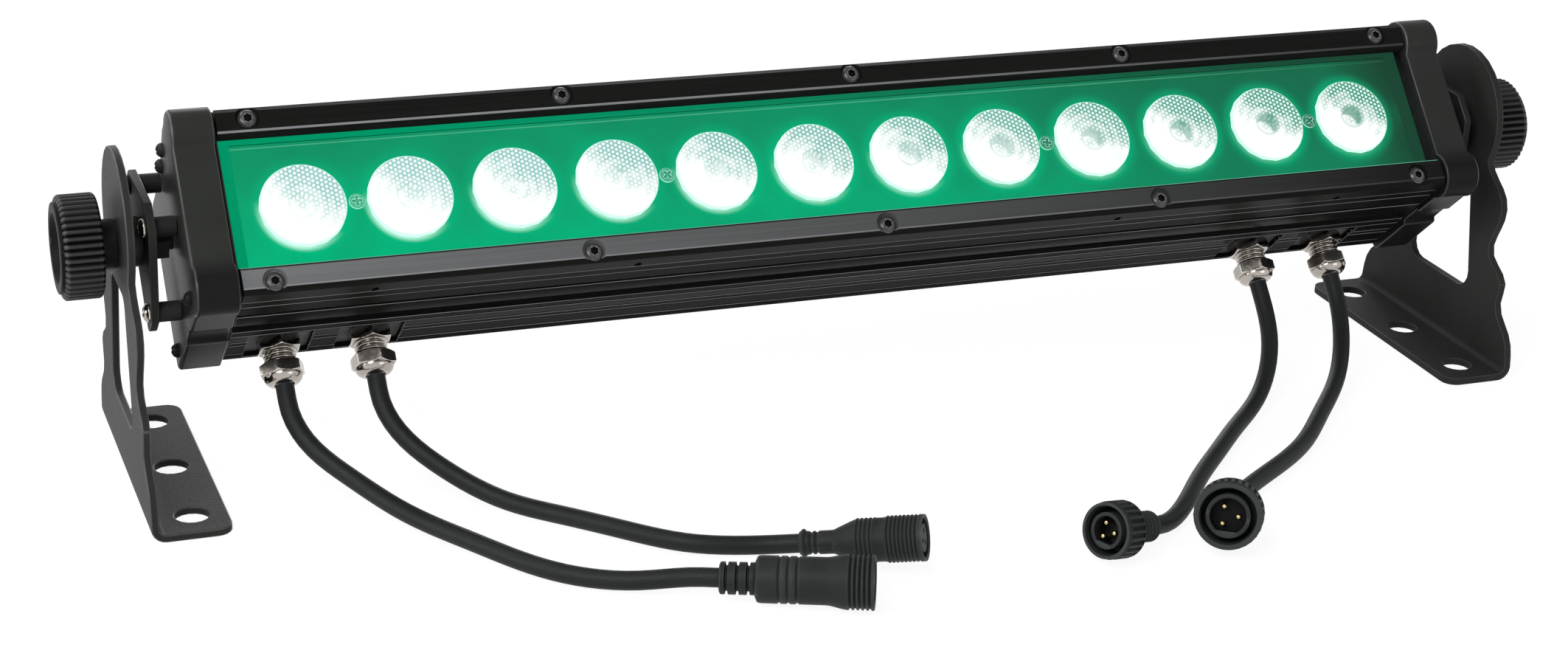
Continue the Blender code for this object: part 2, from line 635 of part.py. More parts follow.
def plug_solid(size):
    """A plug's moulded body: relief, neck, the shoulder that keeps the ring on, and a hollow sleeve."""
    face = plug_length(size) - CLEAR
    shoulder = face - size.sleeve - 2 * size.sleeve_wall
    bore = size.sleeve_radius - size.sleeve_wall
    return lathe(ribbed_relief(size.relief_radius, size.relief, 3) + [
        (size.neck, size.relief), (size.neck, shoulder), (size.sleeve_radius + CLEAR, shoulder),
        (size.sleeve_radius + CLEAR, face - size.sleeve), (size.sleeve_radius, face - size.sleeve),
        (size.sleeve_radius, face), (bore, face), (bore, face - size.well), (0, face - size.well),
    ], 16)


def plug_pins(size):
    """Three contact pins on a circle, rooted in the floor of the sleeve."""
    floor = plug_length(size) - CLEAR - size.well
    reach = (size.sleeve_radius - size.sleeve_wall) * 0.55
    root, tip = floor - CLEAR, floor + PIN_LENGTH
    pin = ((0, root), (PIN_RADIUS, root), (PIN_RADIUS, tip), (0, tip))
    turns = [radians(90 + 120 * k) for k in range(3)]
    return together([shifted(lathe(pin, 6), (reach * cos(a), reach * sin(a), 0)) for a in turns])


def coupling_ring(size, mate):
    """The plug's ring: a cup behind the shoulder, bored over the socket's thread."""
    face = plug_length(size)
    back = face - size.ring
    shoulder = face - CLEAR - size.sleeve - 2 * size.sleeve_wall
    bore = mate.thread_radius + CLEAR
    return lathe((
        (size.neck + CLEAR, back), (size.ring_radius, back), (size.ring_radius, face), (bore, face),
        (bore, shoulder - CLEAR), (size.neck + CLEAR, shoulder - CLEAR),
    ), 20, closed=True)


def cable(name, start, route, end, finish):
    """A round lead: a bevelled poly curve with capped ends. The start and the end are a point and a
    direction each, and the cable is straight there."""
    curve = bpy.data.curves.new(name, "CURVE")
    curve.dimensions = "3D"
    curve.bevel_depth = CABLE_RADIUS
    curve.bevel_resolution = 2
    curve.use_fill_caps = True
    free = [start[0] + start[1] * CABLE_LEAD, *route, end[0] - end[1] * CABLE_LEAD]
    middle = through(free, start[1], end[1], CABLE_STEP)
    points = np.vstack([start[0], middle, end[0]])
    spline = curve.splines.new("POLY")
    spline.points.add(len(points) - 1)
    spline.points.foreach_set("co", np.column_stack([points, np.ones(len(points))]).ravel())
    curve.materials.append(finish)
    bpy.context.scene.collection.objects.link(bpy.data.objects.new(name, curve))


def build_bar(tilt, finish):
    """The housing with its glass, optics and boards."""
    housing = add("housing_profile", prism(housing_loops(), -HOUSING_END, HOUSING_END, section),
                  finish["anodised"], tilt)
    below = -HOUSING_HALF - CLEAR
    pockets = [
        block((gland_x(lead) - POCKET_HALF_LENGTH, -POCKET_N[1], below),
              (gland_x(lead) + POCKET_HALF_LENGTH, -POCKET_N[0], POCKET_FLOOR)) for lead in LEADS.values()
    ]
    combine(housing, together(pockets), "DIFFERENCE")
    radius, above = SPIGOT_RADIUS + CLEAR, REAR_BOX[0] + CLEAR
    drill = ((0, below), (radius, below), (radius, above), (0, above))
    bores = [shifted(lathe(drill, 18), (gland_x(lead), -GLAND_N, 0)) for lead in LEADS.values()]
    combine(housing, together(bores), "DIFFERENCE")

    pane = (HOUSING_END, SEAT_HALF - CLEAR)
    add("front_glass", block((-pane[0], -GLASS_FRONT, -pane[1]), (pane[0], -GLASS_BACK, pane[1])),
        finish["glass"], tilt)
    frame = [rectangle((-pane[0] + inset, -pane[1] + inset), (pane[0] - inset, pane[1] - inset))
             for inset in (0, GLASS_GASKET_WIDTH)]
    add("glass_gasket", prism(frame, LEDGE + CLEAR, GLASS_BACK - CLEAR, lambda x, v, n: (x, -n, v)),
        finish["seal"], tilt)
    for name, side in (("top", 1), ("bottom", -1)):
        add(f"{name}_retaining_strip", prism(strip_loop(side), -HOUSING_END, HOUSING_END, section),
            finish["strip"], tilt)

    board = add("led_board", block(
        (-HOUSING_END + CAP_FLOOR, -BOARD_FRONT, -LIGHT_BOX_HALF + CLEAR),
        (HOUSING_END - CAP_FLOOR, -WEB_FRONT - CLEAR, LIGHT_BOX_HALF - CLEAR)), finish["board"], tilt)
    places = [(k - (LENS_COUNT - 1) / 2) * LENS_PITCH for k in range(LENS_COUNT)]
    half = CHIP_SIDE / 2
    combine(board, together([
        block((x - half, -BOARD_FRONT - CHIP_HEIGHT, -half), (x + half, -BOARD_FRONT + CLEAR, half))
        for x in places]), "UNION")
    long, wide = HOUSING_END - CLEAR, LIGHT_BOX_HALF - CLEAR
    cover = [rectangle((-long, -wide), (long, wide))]
    cover += [circle((x, 0), LENS_RADIUS + CLEAR, LENS_SIDES) for x in places]
    add("lens_plate", prism(cover, LEDGE - LENS_PLATE_THICKNESS, LEDGE, lambda x, v, n: (x, -n, v)),
        finish["plastic"], tilt)
    for number, x in enumerate(places, 1):
        add(f"lens_{number:02d}", lens_solid(), finish["lens"], tilt, (x, 0, 0), (pi / 2, 0, 0))
    build_driver(tilt, finish)


def build_driver(tilt, finish):
    """The driver board on its posts, with its transformer, chokes, capacitors and heat sink."""
    floor = -(HOUSING_BACK + REAR_WALL) - CLEAR
    wide = REAR_BOX[1] - DRIVER_GAP
    top = floor - DRIVER_POST
    face = top - DRIVER_THICKNESS
    half = DRIVER_LENGTH / 2
    board = add("driver_board", block((-half, face, -wide), (half, top, wide)),
                finish["board"], tilt)
    inset = 3 * DRIVER_POST
    pieces = [
        block((x - DRIVER_POST, top - CLEAR, v - DRIVER_POST), (x + DRIVER_POST, floor, v + DRIVER_POST))
        for x in (inset - half, 0, half - inset) for v in (inset - wide, wide - inset)
    ]
    pieces += [
        block((item.place - item.half_length, face - item.height, -item.half_width),
              (item.place + item.half_length, face + CLEAR, item.half_width)) for item in DRIVER_COMPONENTS
    ]
    combine(board, together(pieces), "UNION")


def build_end(name, side, tilt, finish):
    """One end of the bar: gasket, cap, end plate on its spacers, and the tilt nut and washer."""
    axle = (0, side * pi / 2, 0)
    low, high = CLEAR - HOUSING_HALF, HOUSING_HALF - CLEAR
    back = HOUSING_BACK + CLEAR
    outline = [(high, CAP_FLAT), (high, SHOULDER), (CREST_HALF - CLEAR, CREST), (CREST_HALF - CLEAR, back),
               (low, back), (low, CAP_FLAT)]
    ring = [outline, rectangle((-CAP_HOLLOW_HALF, CAP_HOLLOW[0]), (CAP_HOLLOW_HALF, CAP_HOLLOW[1]))]
    add(f"{name}_cap_gasket", prism(ring, side * (HOUSING_END + CLEAR), side * (CAP_IN - CLEAR), section),
        finish["seal"], tilt)
    cap = add(f"{name}_end_cap", bevelled_cap(side), finish["cast"], tilt)
    ends = sorted((side * (CAP_IN - CLEAR), side * (CAP_OUT - CAP_FLOOR)))
    combine(cap, block((ends[0], -CAP_HOLLOW[1], -CAP_HOLLOW_HALF),
                       (ends[1], -CAP_HOLLOW[0], CAP_HOLLOW_HALF)), "DIFFERENCE")
    near, far = CAP_OUT + CLEAR, PLATE_IN - CLEAR
    spacer = ((0, near), (STANDOFF_RADIUS, near), (STANDOFF_RADIUS, far), (0, far))
    for place, (v, n) in STANDOFFS.items():
        add(f"{name}_standoff_{place}", lathe(spacer, 12), finish["painted"], tilt, (0, -n, v), axle)
    corners = mirrored([PLATE_NOSE] + [(STANDOFF_HALF + PLATE_EAR, n) for n in PLATE_LEVELS])
    plate = [rounded(corners, [PLATE_CORNER] * len(corners), 3), circle((0, 0), STUD_HOLE)]
    add(f"{name}_end_plate", prism(plate, side * PLATE_IN, side * PLATE_OUT, section),
        finish["painted"], tilt)
    nut = ((STUD_HOLE, far - NUT_HEIGHT), (NUT_FLATS / 2, far - NUT_HEIGHT, 6), (NUT_FLATS / 2, far, 6),
           (STUD_HOLE, far))
    add(f"{name}_pivot_nut", lathe(nut, closed=True), finish["plated"], tilt, (0, 0, 0), axle)
    add(f"{name}_friction_washer", ring_solid(STUD_HOLE, WASHER_RADIUS, PLATE_OUT + CLEAR, FOOT_IN - CLEAR),
        finish["plastic"], tilt, (0, 0, 0), axle)


def build_stand(name, side, finish):
    """One foot with its knob and stud, all about the tilt axis."""
    axis = (0, 0, PIVOT_HEIGHT)
    axle = (0, side * pi / 2, 0)
    add(f"{name}_foot", bent_foot(side), finish["painted"], None, axis)
    add(f"{name}_knob", knob_solid(), finish["plastic"], None, axis, axle)
    tip, root = CAP_OUT + CLEAR, KNOB_IN + STUD_GRIP - CLEAR
    add(f"{name}_pivot_stud", lathe(((0, tip), (STUD_RADIUS, tip), (STUD_RADIUS, root), (0, root))),
        finish["plated"], None, axis, axle)


def gland_x(lead):
    """A lead's place along the bar."""
    return lead.side * (HOUSING_END - lead.inset)


def build_lead(name, lead, tilt, finish):
    """One lead: its gland in the housing, the cable and the connector at its far end."""
    place = (gland_x(lead), -GLAND_N, 0)
    add(f"{name}_gland_body", gland_body(), finish["plated"], tilt, place, (pi, 0, 0))
    add(f"{name}_gland_nut", gland_nut(), finish["plated"], tilt, place, (pi, 0, 0))
    lean = tilt.rotation_euler.to_matrix()
    out = lean @ Vector((0, 0, -1))
    outlet = tilt.location + lean @ Vector((gland_x(lead), -GLAND_N, -GLAND_NUT_OUT))
    facing = Vector((cos(lead.azimuth) * cos(lead.elevation), sin(lead.azimuth) * cos(lead.elevation),
                     sin(lead.elevation)))
    back = Vector(lead.back)
    route = [(outlet.x + share * (back.x - outlet.x), y, z) for share, y, z in lead.route]
    cable(f"{name}_cable", (outlet + out * CLEAR, out), route, (back - facing * CLEAR, facing),
          finish["rubber"])
    aim = facing.to_track_quat("Z", "Y").to_euler()
    if name.endswith("_out"):
        size, mate = (POWER_SOCKET, POWER_PLUG) if name == "power_out" else (DATA_SOCKET, DATA_PLUG)
        add(f"{name}_socket", socket_solid(size, mate), finish["plastic"], None, back, aim)
        return
    size, mate = (POWER_PLUG, POWER_SOCKET) if name == "power_in" else (DATA_PLUG, DATA_SOCKET)
    plug = add(f"{name}_plug", plug_solid(size), finish["plastic"], None, back, aim)
    combine(plug, plug_pins(size), "UNION")
    add(f"{name}_ring", coupling_ring(size, mate), finish["plastic"], None, back, aim)


def main():
    for item in list(bpy.data.objects):
        bpy.data.objects.remove(item, do_unlink=True)
    finish = {
        "anodised": material("black_anodised", (0.018, 0.018, 0.020), 0.8, 0.38),
        "strip": material("black_strip", (0.022, 0.022, 0.024), 0.8, 0.34),
        "cast": material("black_cast", (0.020, 0.020, 0.021), 0.3, 0.48),
        "painted": material("black_powder_coat", (0.026, 0.026, 0.026), 0.0, 0.55),
        "plated": material("nickel_plate", (0.62, 0.60, 0.56), 1.0, 0.25),
        "glass": material("clear_glass", (0.75, 0.85, 0.80), 0.0, 0.05),
        "lens": material("clear_acrylic", (0.55, 0.95, 0.80), 0.0, 0.15),
        "board": material("green_board", (0.010, 0.300, 0.170), 0.0, 0.45),
        "seal": material("black_silicone", (0.020, 0.020, 0.020), 0.0, 0.70),
        "plastic": material("black_nylon", (0.018, 0.018, 0.018), 0.0, 0.50),
        "rubber": material("black_rubber", (0.022, 0.023, 0.024), 0.0, 0.60),
    }
    tilt = empty("tilt_axis", (0, 0, PIVOT_HEIGHT), (-TILT, 0, 0))
    build_bar(tilt, finish)
    for name, side in (("left", -1), ("right", 1)):
        build_end(name, side, tilt, finish)
        build_stand(name, side, finish)
    for name, lead in LEADS.items():
        build_lead(name, lead, tilt, finish)


main()
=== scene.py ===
"""The LED strip batten's visible surfaces and finishes, and the studio round it.

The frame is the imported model, in metres, +Z up. The bar has its own section frame: x along it, v up
its face and n out of its face, leaning back about the tilt axis.
"""

import json
from collections import namedtuple
from math import cos, pi, radians, sin
from types import SimpleNamespace

import bmesh
import bpy
import numpy as np
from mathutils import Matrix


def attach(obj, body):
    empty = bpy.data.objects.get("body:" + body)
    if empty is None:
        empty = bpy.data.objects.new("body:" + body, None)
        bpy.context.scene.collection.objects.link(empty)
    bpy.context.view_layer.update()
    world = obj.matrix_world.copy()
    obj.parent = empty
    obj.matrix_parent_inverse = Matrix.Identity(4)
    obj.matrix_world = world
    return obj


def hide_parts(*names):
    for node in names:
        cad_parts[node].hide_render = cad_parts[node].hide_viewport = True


bl_info = {
    "name": "LED Strip Batten",
    "version": (1, 0, 0),
    "blender": (4, 5, 0),
    "location": "3D View > Sidebar > Batten",
    "description": "Builds the surfaces and finishes of an LED strip batten on its loaded frame",
    "category": "Add Mesh",
}

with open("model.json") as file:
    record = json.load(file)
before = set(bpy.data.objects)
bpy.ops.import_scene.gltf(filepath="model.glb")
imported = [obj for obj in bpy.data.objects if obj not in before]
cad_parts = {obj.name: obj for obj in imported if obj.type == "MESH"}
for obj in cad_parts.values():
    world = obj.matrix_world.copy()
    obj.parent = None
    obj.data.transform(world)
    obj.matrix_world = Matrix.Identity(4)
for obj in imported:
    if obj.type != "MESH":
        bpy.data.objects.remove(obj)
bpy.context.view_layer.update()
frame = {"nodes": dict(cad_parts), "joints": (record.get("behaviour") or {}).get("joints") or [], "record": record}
BODY_OF = {node: body for body, nodes in frame["record"]["behaviour"]["bodies"].items() for node in nodes}
JOINT_AT = {joint["child"]: joint for joint in frame["joints"]}

PIVOT = np.array((0.0, 0.0, JOINT_AT["left_foot"]["pos_m"][2]))
TILT = radians(43)
ALONG = np.array((1.0, 0.0, 0.0))
ACROSS = np.array((0.0, sin(TILT), cos(TILT)))
OUTWARD = np.array((0.0, -cos(TILT), sin(TILT)))
SIDES = {"left": -1, "right": 1}

# Places in the section frame, as in the solids
CLEAR = 0.0003
HOUSING_END = 0.2483
LENS_COUNT, LENS_PITCH, LENS_RADIUS = 12, 0.040, 0.016
LENS_PLACES = (np.arange(LENS_COUNT) - (LENS_COUNT - 1) / 2) * LENS_PITCH
LENS_FRONT = 0.0216
PLATE_FRONT = 0.0200
GLAND_N = -0.0240
GLAND_SEAT = 0.0343
GLAND_FLATS = 0.0150
GLAND_TURNS = (20, 50, 5, 35)
POCKET_FLOOR = 0.0340
POCKET_N, POCKET_HALF = -0.02325, 0.0104
CAP_OUT = 0.2651
PLATE_OUT = 0.2768
STANDOFF_IN, STANDOFF_OUT = 0.2654, 0.2735
KNOB_IN = 0.2863
STANDOFF_PLACES = {"front": (0.0, 0.0120), "upper": (0.0255, -0.0070), "lower": (-0.0255, -0.0070)}
STRIP_SCREWS = np.array((-0.2366, -0.1178, 0.0, 0.1178, 0.2366))
STRIP_SCREW_V = 0.0320
STRIP_SINK_FLOOR = 0.0294
STRIP_DRAINS = np.array((-0.200, -0.100, 0.100, 0.200))
PLATE_SCREWS = np.array((-0.200, -0.080, 0.080, 0.200))
CAP_SCREWS = ((0.0321, 0.0074), (0.0293, -0.0007), (-0.0303, 0.0162), (-0.0330, -0.0290))

# The net of pillows on a lens: three waves, and the part of their sum that runs from a line to a crown
NET_PITCH = 0.0018
NET_WAVE = 4 * pi / (3 ** 0.5 * NET_PITCH)
NET_TURNS = np.array((0, pi / 3, 2 * pi / 3))
NET_LOW, NET_HIGH = -1.1, 1.3
NET_DEPTH = 0.00015

# The middle of a noise's range
NOISE_LOW, NOISE_HIGH = 0.3, 0.7
WHITE = (1.0, 1.0, 1.0)
BLACK = (0.0, 0.0, 0.0)

# The finishes of a retaining strip, in the order of its slots: plain, a painted highlight along edges,
# the face with a painted sheen, and a painted glow on the lip
STRIP_FINISHES = ("anodised_strip", "strip_edge_highlight", "anodised_sheen", "lit_lip")
STRIP_PLAIN, STRIP_HIGHLIGHT, STRIP_FACE, STRIP_LIP = range(4)

MERGE = 2e-6
EASED_CREASE = 34

Lead = namedtuple("Lead", "gland_x back azimuth elevation route")
LEADS = {
    "power_out": Lead(-0.2290, (-0.1041, -0.1523, 0.0078), radians(-25.8), radians(2.9), (
        (-0.2232, -0.0380, 0.0220), (-0.2122, -0.0495, 0.0140), (-0.1968, -0.0700, 0.0073),
        (-0.1775, -0.0970, 0.0050), (-0.1560, -0.1245, 0.0040), (-0.1295, -0.1415, 0.0050))),
    "data_out": Lead(-0.1945, (-0.0656, -0.1319, 0.0062), radians(-32.3), radians(10.8), (
        (-0.1905, -0.0345, 0.0240), (-0.1775, -0.0490, 0.0135), (-0.1575, -0.0670, 0.0052),
        (-0.1415, -0.0815, 0.0042), (-0.1230, -0.1000, 0.0044), (-0.1030, -0.1175, 0.0045))),
    "data_in": Lead(0.1820, (0.0628, -0.1558, 0.0071), radians(205), radians(14), (
        (0.1790, -0.0375, 0.0220), (0.1645, -0.0580, 0.0080), (0.1435, -0.0775, 0.0042),
        (0.1240, -0.0975, 0.0041), (0.1050, -0.1175, 0.0041), (0.0875, -0.1380, 0.0042))),
    "power_in": Lead(0.2170, (0.1013, -0.1499, 0.0081), radians(236), radians(16), (
        (0.2130, -0.0380, 0.0215), (0.2000, -0.0585, 0.0105), (0.1820, -0.0780, 0.0060),
        (0.1635, -0.0975, 0.0041), (0.1425, -0.1145, 0.0041), (0.1200, -0.1300, 0.0042))),
}
GLAND_NUT_OUT = 0.0525
CABLE_LEAD = 0.0060
CABLE_STEP = 0.0045

# Plugs and sockets, in millimetres
PlugSizes = namedtuple("PlugSizes", "relief relief_end neck sleeve reach wall ring well grip bore grips")
PLUGS = {
    "data_in": PlugSizes(5.85, 12.5, 6.3, 6.8, 7.5, 1.4, 11.7, 6.8, 10.75, 8.85, 24),
    "power_in": PlugSizes(6.0, 13.5, 6.8, 8.2, 8.5, 1.5, 12.5, 7.8, 12.85, 10.2, 30),
}
CONTACT_TURNS = radians(90) + np.arange(3) * radians(120)
PIN_RADIUS, PIN_LENGTH = 0.8, 6.0
SOCKET_STEPS = 120
CORE_SUNK = 0.0006

# Place, target, size and power of each soft box
LAMPS = {
    "key": ((-1.0, -1.0, 1.3), (0.0, 0.0, 0.08), 0.8, 19.0),
    "left": ((-1.7, -0.1, 0.55), (-0.25, 0.0, 0.07), 0.7, 10.0),
    "top": ((-0.9, 0.8, 1.3), (0.0, 0.0, 0.1), 0.9, 9.0),
    "front": ((0.9, -1.6, 0.5), (0.1, 0.0, 0.05), 0.8, 3.0),
    "back": ((0.5, 1.8, 0.7), (0.0, 0.0, 0.08), 1.0, 12.0),
}

Place = namedtuple("Place", "origin rows")
Patch = namedtuple("Patch", "points wrap_rows wrap_columns mark")


def on_bar(x, v, n):
    """World points of the section frame: the tilt axis plus x along, v up the face and n out of it."""
    x, v, n = np.broadcast_arrays(*(np.asarray(value, float) for value in (x, v, n)))
    return PIVOT + x[..., None] * ALONG + v[..., None] * ACROSS + n[..., None] * OUTWARD


def standing(origin, axis, start):
    """A place whose third direction is the axis and whose first is the start direction made square to it."""
    up = np.asarray(axis, float) / np.linalg.norm(axis)
    first = np.asarray(start, float) - np.dot(start, up) * up
    first /= np.linalg.norm(first)
    return Place(np.asarray(origin, float), np.array((first, np.cross(up, first), up)))


def facing(lead):
    """The way a lead's connector points."""
    flat = cos(lead.elevation)
    return np.array((cos(lead.azimuth) * flat, sin(lead.azimuth) * flat, sin(lead.elevation)))


def connector_place(name):
    """The place of a lead's connector: its back, with the way it points as the axis."""
    return standing(LEADS[name].back, facing(LEADS[name]), (0, 0, 1))


def rows_of(*points):
    """Profile rows from (radius, height) pairs in millimetres."""
    return np.array(points, float) / 1000


def smooth_step(share):
    """A share of 0 to 1 with level ends: three times its square less twice its cube."""
    return share * share * (3 - 2 * share)


def arc(t, first, middle, last):
    """The quadratic curve from the first point to the last, with the middle one as its control point."""
    return (1 - t) ** 2 * first + 2 * t * (1 - t) * middle + t ** 2 * last


def rounded(points, radius, steps=4):
    """A polyline in the plane whose inner corners are arcs: each corner is replaced by the quadratic curve
    that starts and ends one radius from it and has it as its middle control point."""
    points = np.asarray(points, float)
    here = points[1:-1]
    radius = np.broadcast_to(radius, len(here))[:, None]
    ends = []
    for way in (points[:-2] - here, points[2:] - here):
        length = np.linalg.norm(way, axis=1, keepdims=True)
        ends.append(here + way / length * np.minimum(radius, 0.45 * length))
    t = np.linspace(0, 1, steps + 1)[None, :, None]
    curve = arc(t, ends[0][:, None], here[:, None], ends[1][:, None])
    return np.concatenate([points[:1], curve.reshape(-1, 2), points[-1:]])


def ribs(low, high, count, radius, depth, rows=8, steep=1.0, share=0.5):
    """Ribs side by side, in millimetres: the radius dips between crests by a raised cosine of the height,
    made steeper and cut off at both ends for square ribs."""
    turn = np.linspace(0, count, count * rows + 1)
    dip = depth * np.clip((share - 0.5 - 0.5 * np.cos(2 * pi * turn)) * steep + 0.5, 0, 1)
    return np.column_stack([radius - dip, np.linspace(low, high, len(turn))]) / 1000


def resampled(rows, count):
    """The same rows with the given number of steps between each pair, evenly."""
    t = np.linspace(0, 1, count, endpoint=False)[None, :, None]
    inner = rows[:-1, None] * (1 - t) + rows[1:, None] * t
    return np.concatenate([inner.reshape(-1, 2), rows[-1:]])


def spline(points, leave, arrive, spacing):
    """Points at an even spacing on the cubic spline through the given points that starts and ends in the
    given directions: its slopes solve one linear system over the chord lengths."""
    knots = np.array(points, float)
    steps = np.linalg.norm(np.diff(knots, axis=0), axis=1)
    system = np.eye(len(knots))
    slopes = np.zeros_like(knots)
    slopes[0], slopes[-1] = leave, arrive
    inner = np.arange(1, len(knots) - 1)
    before, after = steps[:-1], steps[1:]
    system[inner, inner - 1], system[inner, inner + 1] = after, before
    system[inner, inner] = 2 * (before + after)
    chords = np.diff(knots, axis=0) / steps[:, None]
    slopes[1:-1] = 3 * (after[:, None] * chords[:-1] + before[:, None] * chords[1:])
    slopes = np.linalg.solve(system, slopes)
    t = np.linspace(0, 1, 33)[None, :-1, None]
    rise = smooth_step(t)
    bow = slopes[:-1, None] * t * (1 - t) ** 2 - slopes[1:, None] * t * t * (1 - t)
    curve = knots[:-1, None] * (1 - rise) + knots[1:, None] * rise + steps[:, None, None] * bow
    curve = np.concatenate([curve.reshape(-1, 3), knots[-1:]])
    run = np.concatenate([[0], np.cumsum(np.linalg.norm(np.diff(curve, axis=0), axis=1))])
    stops = np.linspace(0, run[-1], round(run[-1] / spacing) + 1)
    return np.column_stack([np.interp(stops, run, axis) for axis in curve.T])


def round_angles(steps):
    """Even angles round a circle, as a column."""
    return np.linspace(0, 2 * pi, steps, endpoint=False)[:, None]


def turned(profile, steps, place, form=None, mark=0, closed=False):
    """A surface of revolution: (radius, height) rows carried round the place's axis. The form may change the
    radius from the angle and the row, as for flats and flutes."""
    angle = round_angles(steps)
    radius = np.broadcast_to(profile[:, 0], (steps, len(profile)))
    height = np.broadcast_to(profile[:, 1], (steps, len(profile)))
    if form is not None:
        radius = form(angle, radius, height)
    local = np.stack([radius * np.cos(angle), radius * np.sin(angle), height], axis=-1)
    return Patch(place.origin + local @ place.rows, True, closed, mark)


def hexagon(flats, rows):
    """A form with six flats that far apart on the rows marked true: the radius is the smaller of the row's
    own and the flat's distance over the cosine of the angle from the flat's middle."""
    def form(angle, radius, height):
        turn = np.mod(angle + pi / 6, pi / 3) - pi / 6
        return np.where(rows[None, :], np.minimum(radius, flats / 2 / np.cos(turn)), radius)
    return form


def pillowed(patch, rows):
    """A lens whose marked rows are sunk along a net of lines: by one minus the sum of three cosine waves,
    60 degrees apart, of the place on the bar, cut off at both ends."""
    place = patch.points - PIVOT
    along, across = (place @ ALONG)[..., None], (place @ ACROSS)[..., None]
    waves = np.cos(along * NET_WAVE * np.cos(NET_TURNS) + across * NET_WAVE * np.sin(NET_TURNS))
    sunk = 1 - np.clip((waves.sum(axis=-1) - NET_LOW) / (NET_HIGH - NET_LOW), 0, 1)
    return patch._replace(points=patch.points - NET_DEPTH * (sunk * rows)[..., None] * OUTWARD)


def tube(path, radius, sides, start):
    """A round tube: a circle square to the path at each of its points, closed by its centre at both ends."""
    way = np.gradient(path, axis=0)
    way /= np.linalg.norm(way, axis=1, keepdims=True)
    side = np.cross(way, start)
    side /= np.linalg.norm(side, axis=1, keepdims=True)
    over = np.cross(side, way)
    path, side, over = (np.concatenate([grid[:1], grid, grid[-1:]]) for grid in (path, side, over))
    reach = np.full(len(path), radius)
    reach[[0, -1]] = 0
    angle = round_angles(sides)[..., None]
    ring = np.cos(angle) * side + np.sin(angle) * over
    return Patch(path + reach[None, :, None] * ring, True, False, 0)


def quads(rows, columns, wrap_rows, wrap_columns):
    """The four corner numbers of every cell of a grid of points."""
    row = np.arange(rows if wrap_rows else rows - 1)[:, None] * columns
    column = np.arange(columns if wrap_columns else columns - 1)[None, :]
    below, right = (row + columns) % (rows * columns), (column + 1) % columns
    return np.stack((row + column, row + right, below + right, below + column), axis=-1).reshape(-1, 4)


def close_up(mesh):
    """Merges seams and poles and turns every face outwards."""
    bm = bmesh.new()
    bm.from_mesh(mesh)
    bmesh.ops.remove_doubles(bm, verts=bm.verts[:], dist=MERGE)
    bmesh.ops.dissolve_degenerate(bm, edges=bm.edges[:], dist=MERGE / 2)
    bmesh.ops.recalc_face_normals(bm, faces=bm.faces[:])
    bm.to_mesh(mesh)
    bm.free()


def make_piece(name, patches, finishes, stands_for=(), body="batten", crease=32):
    """One mesh piece from grids of points, riding on a body and standing for the named nodes. A patch's mark
    numbers its finish, or that of each of its columns."""
    sizes = [patch.points.shape[0] * patch.points.shape[1] for patch in patches]
    starts = np.concatenate([[0], np.cumsum(sizes)[:-1]])
    cells = [quads(*patch.points.shape[:2], patch.wrap_rows, patch.wrap_columns) for patch in patches]
    faces = np.concatenate([part + start for part, start in zip(cells, starts)])
    widths = [patch.points.shape[1] - (not patch.wrap_columns) for patch in patches]
    marks = np.concatenate([np.resize(np.broadcast_to(patch.mark, width), len(part))
                            for part, patch, width in zip(cells, patches, widths)])
    points = np.concatenate([patch.points.reshape(-1, 3) for patch in patches])
    mesh = bpy.data.meshes.new(name)
    mesh.from_pydata(points.tolist(), [], faces.tolist())
    mesh.polygons.foreach_set("material_index", marks)
    close_up(mesh)
    return enter(name, mesh, body, finishes, stands_for, crease)


def enter(name, mesh, body, finishes, stands_for, crease):
    """Puts a mesh into the scene as a piece: smooth up to the crease angle, finished and riding on its body. The
    nodes it stands for are hidden.
    """
    mesh.shade_smooth()
    mesh.set_sharp_from_angle(angle=radians(crease))
    for finish in finishes:
        mesh.materials.append(bpy.data.materials[finish])
    piece = bpy.data.objects.new(name, mesh)
    bpy.context.scene.collection.objects.link(piece)
    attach(piece, body)
    if stands_for:
        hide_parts(*stands_for)
    return piece


def eased(node, width, finish, edge, segments=2):
    """A copy of a node's own solid with its facets merged, and its outward edges rounded by a bevel that has
    a finish of its own, a painted highlight along the edges."""
    mesh = bpy.data.meshes.new(f"{node}_eased")
    bm = bmesh.new()
    bm.from_mesh(frame["nodes"][node].data)
    bmesh.ops.remove_doubles(bm, verts=bm.verts[:], dist=MERGE)
    bmesh.ops.dissolve_limit(bm, angle_limit=radians(0.5), verts=bm.verts[:], edges=bm.edges[:])
    weight = bm.edges.layers.float.new("bevel_weight_edge")
    for line in bm.edges:
        sharp = line.is_manifold and line.is_convex and line.calc_face_angle() > radians(EASED_CREASE)
        line[weight] = float(sharp)
    bm.to_mesh(mesh)
    bm.free()
    piece = enter(f"{node}_eased", mesh, BODY_OF[node], [finish, edge], [node], EASED_CREASE)
    bevel = piece.modifiers.new("edges", "BEVEL")
    bevel.width = width
    bevel.segments = segments
    bevel.limit_method = "WEIGHT"
    bevel.material = 1


def dress(node, finish):
    """Gives a node that stays as it is its finish."""
    mesh = frame["nodes"][node].data
    mesh.materials.clear()
    mesh.materials.append(bpy.data.materials[finish])


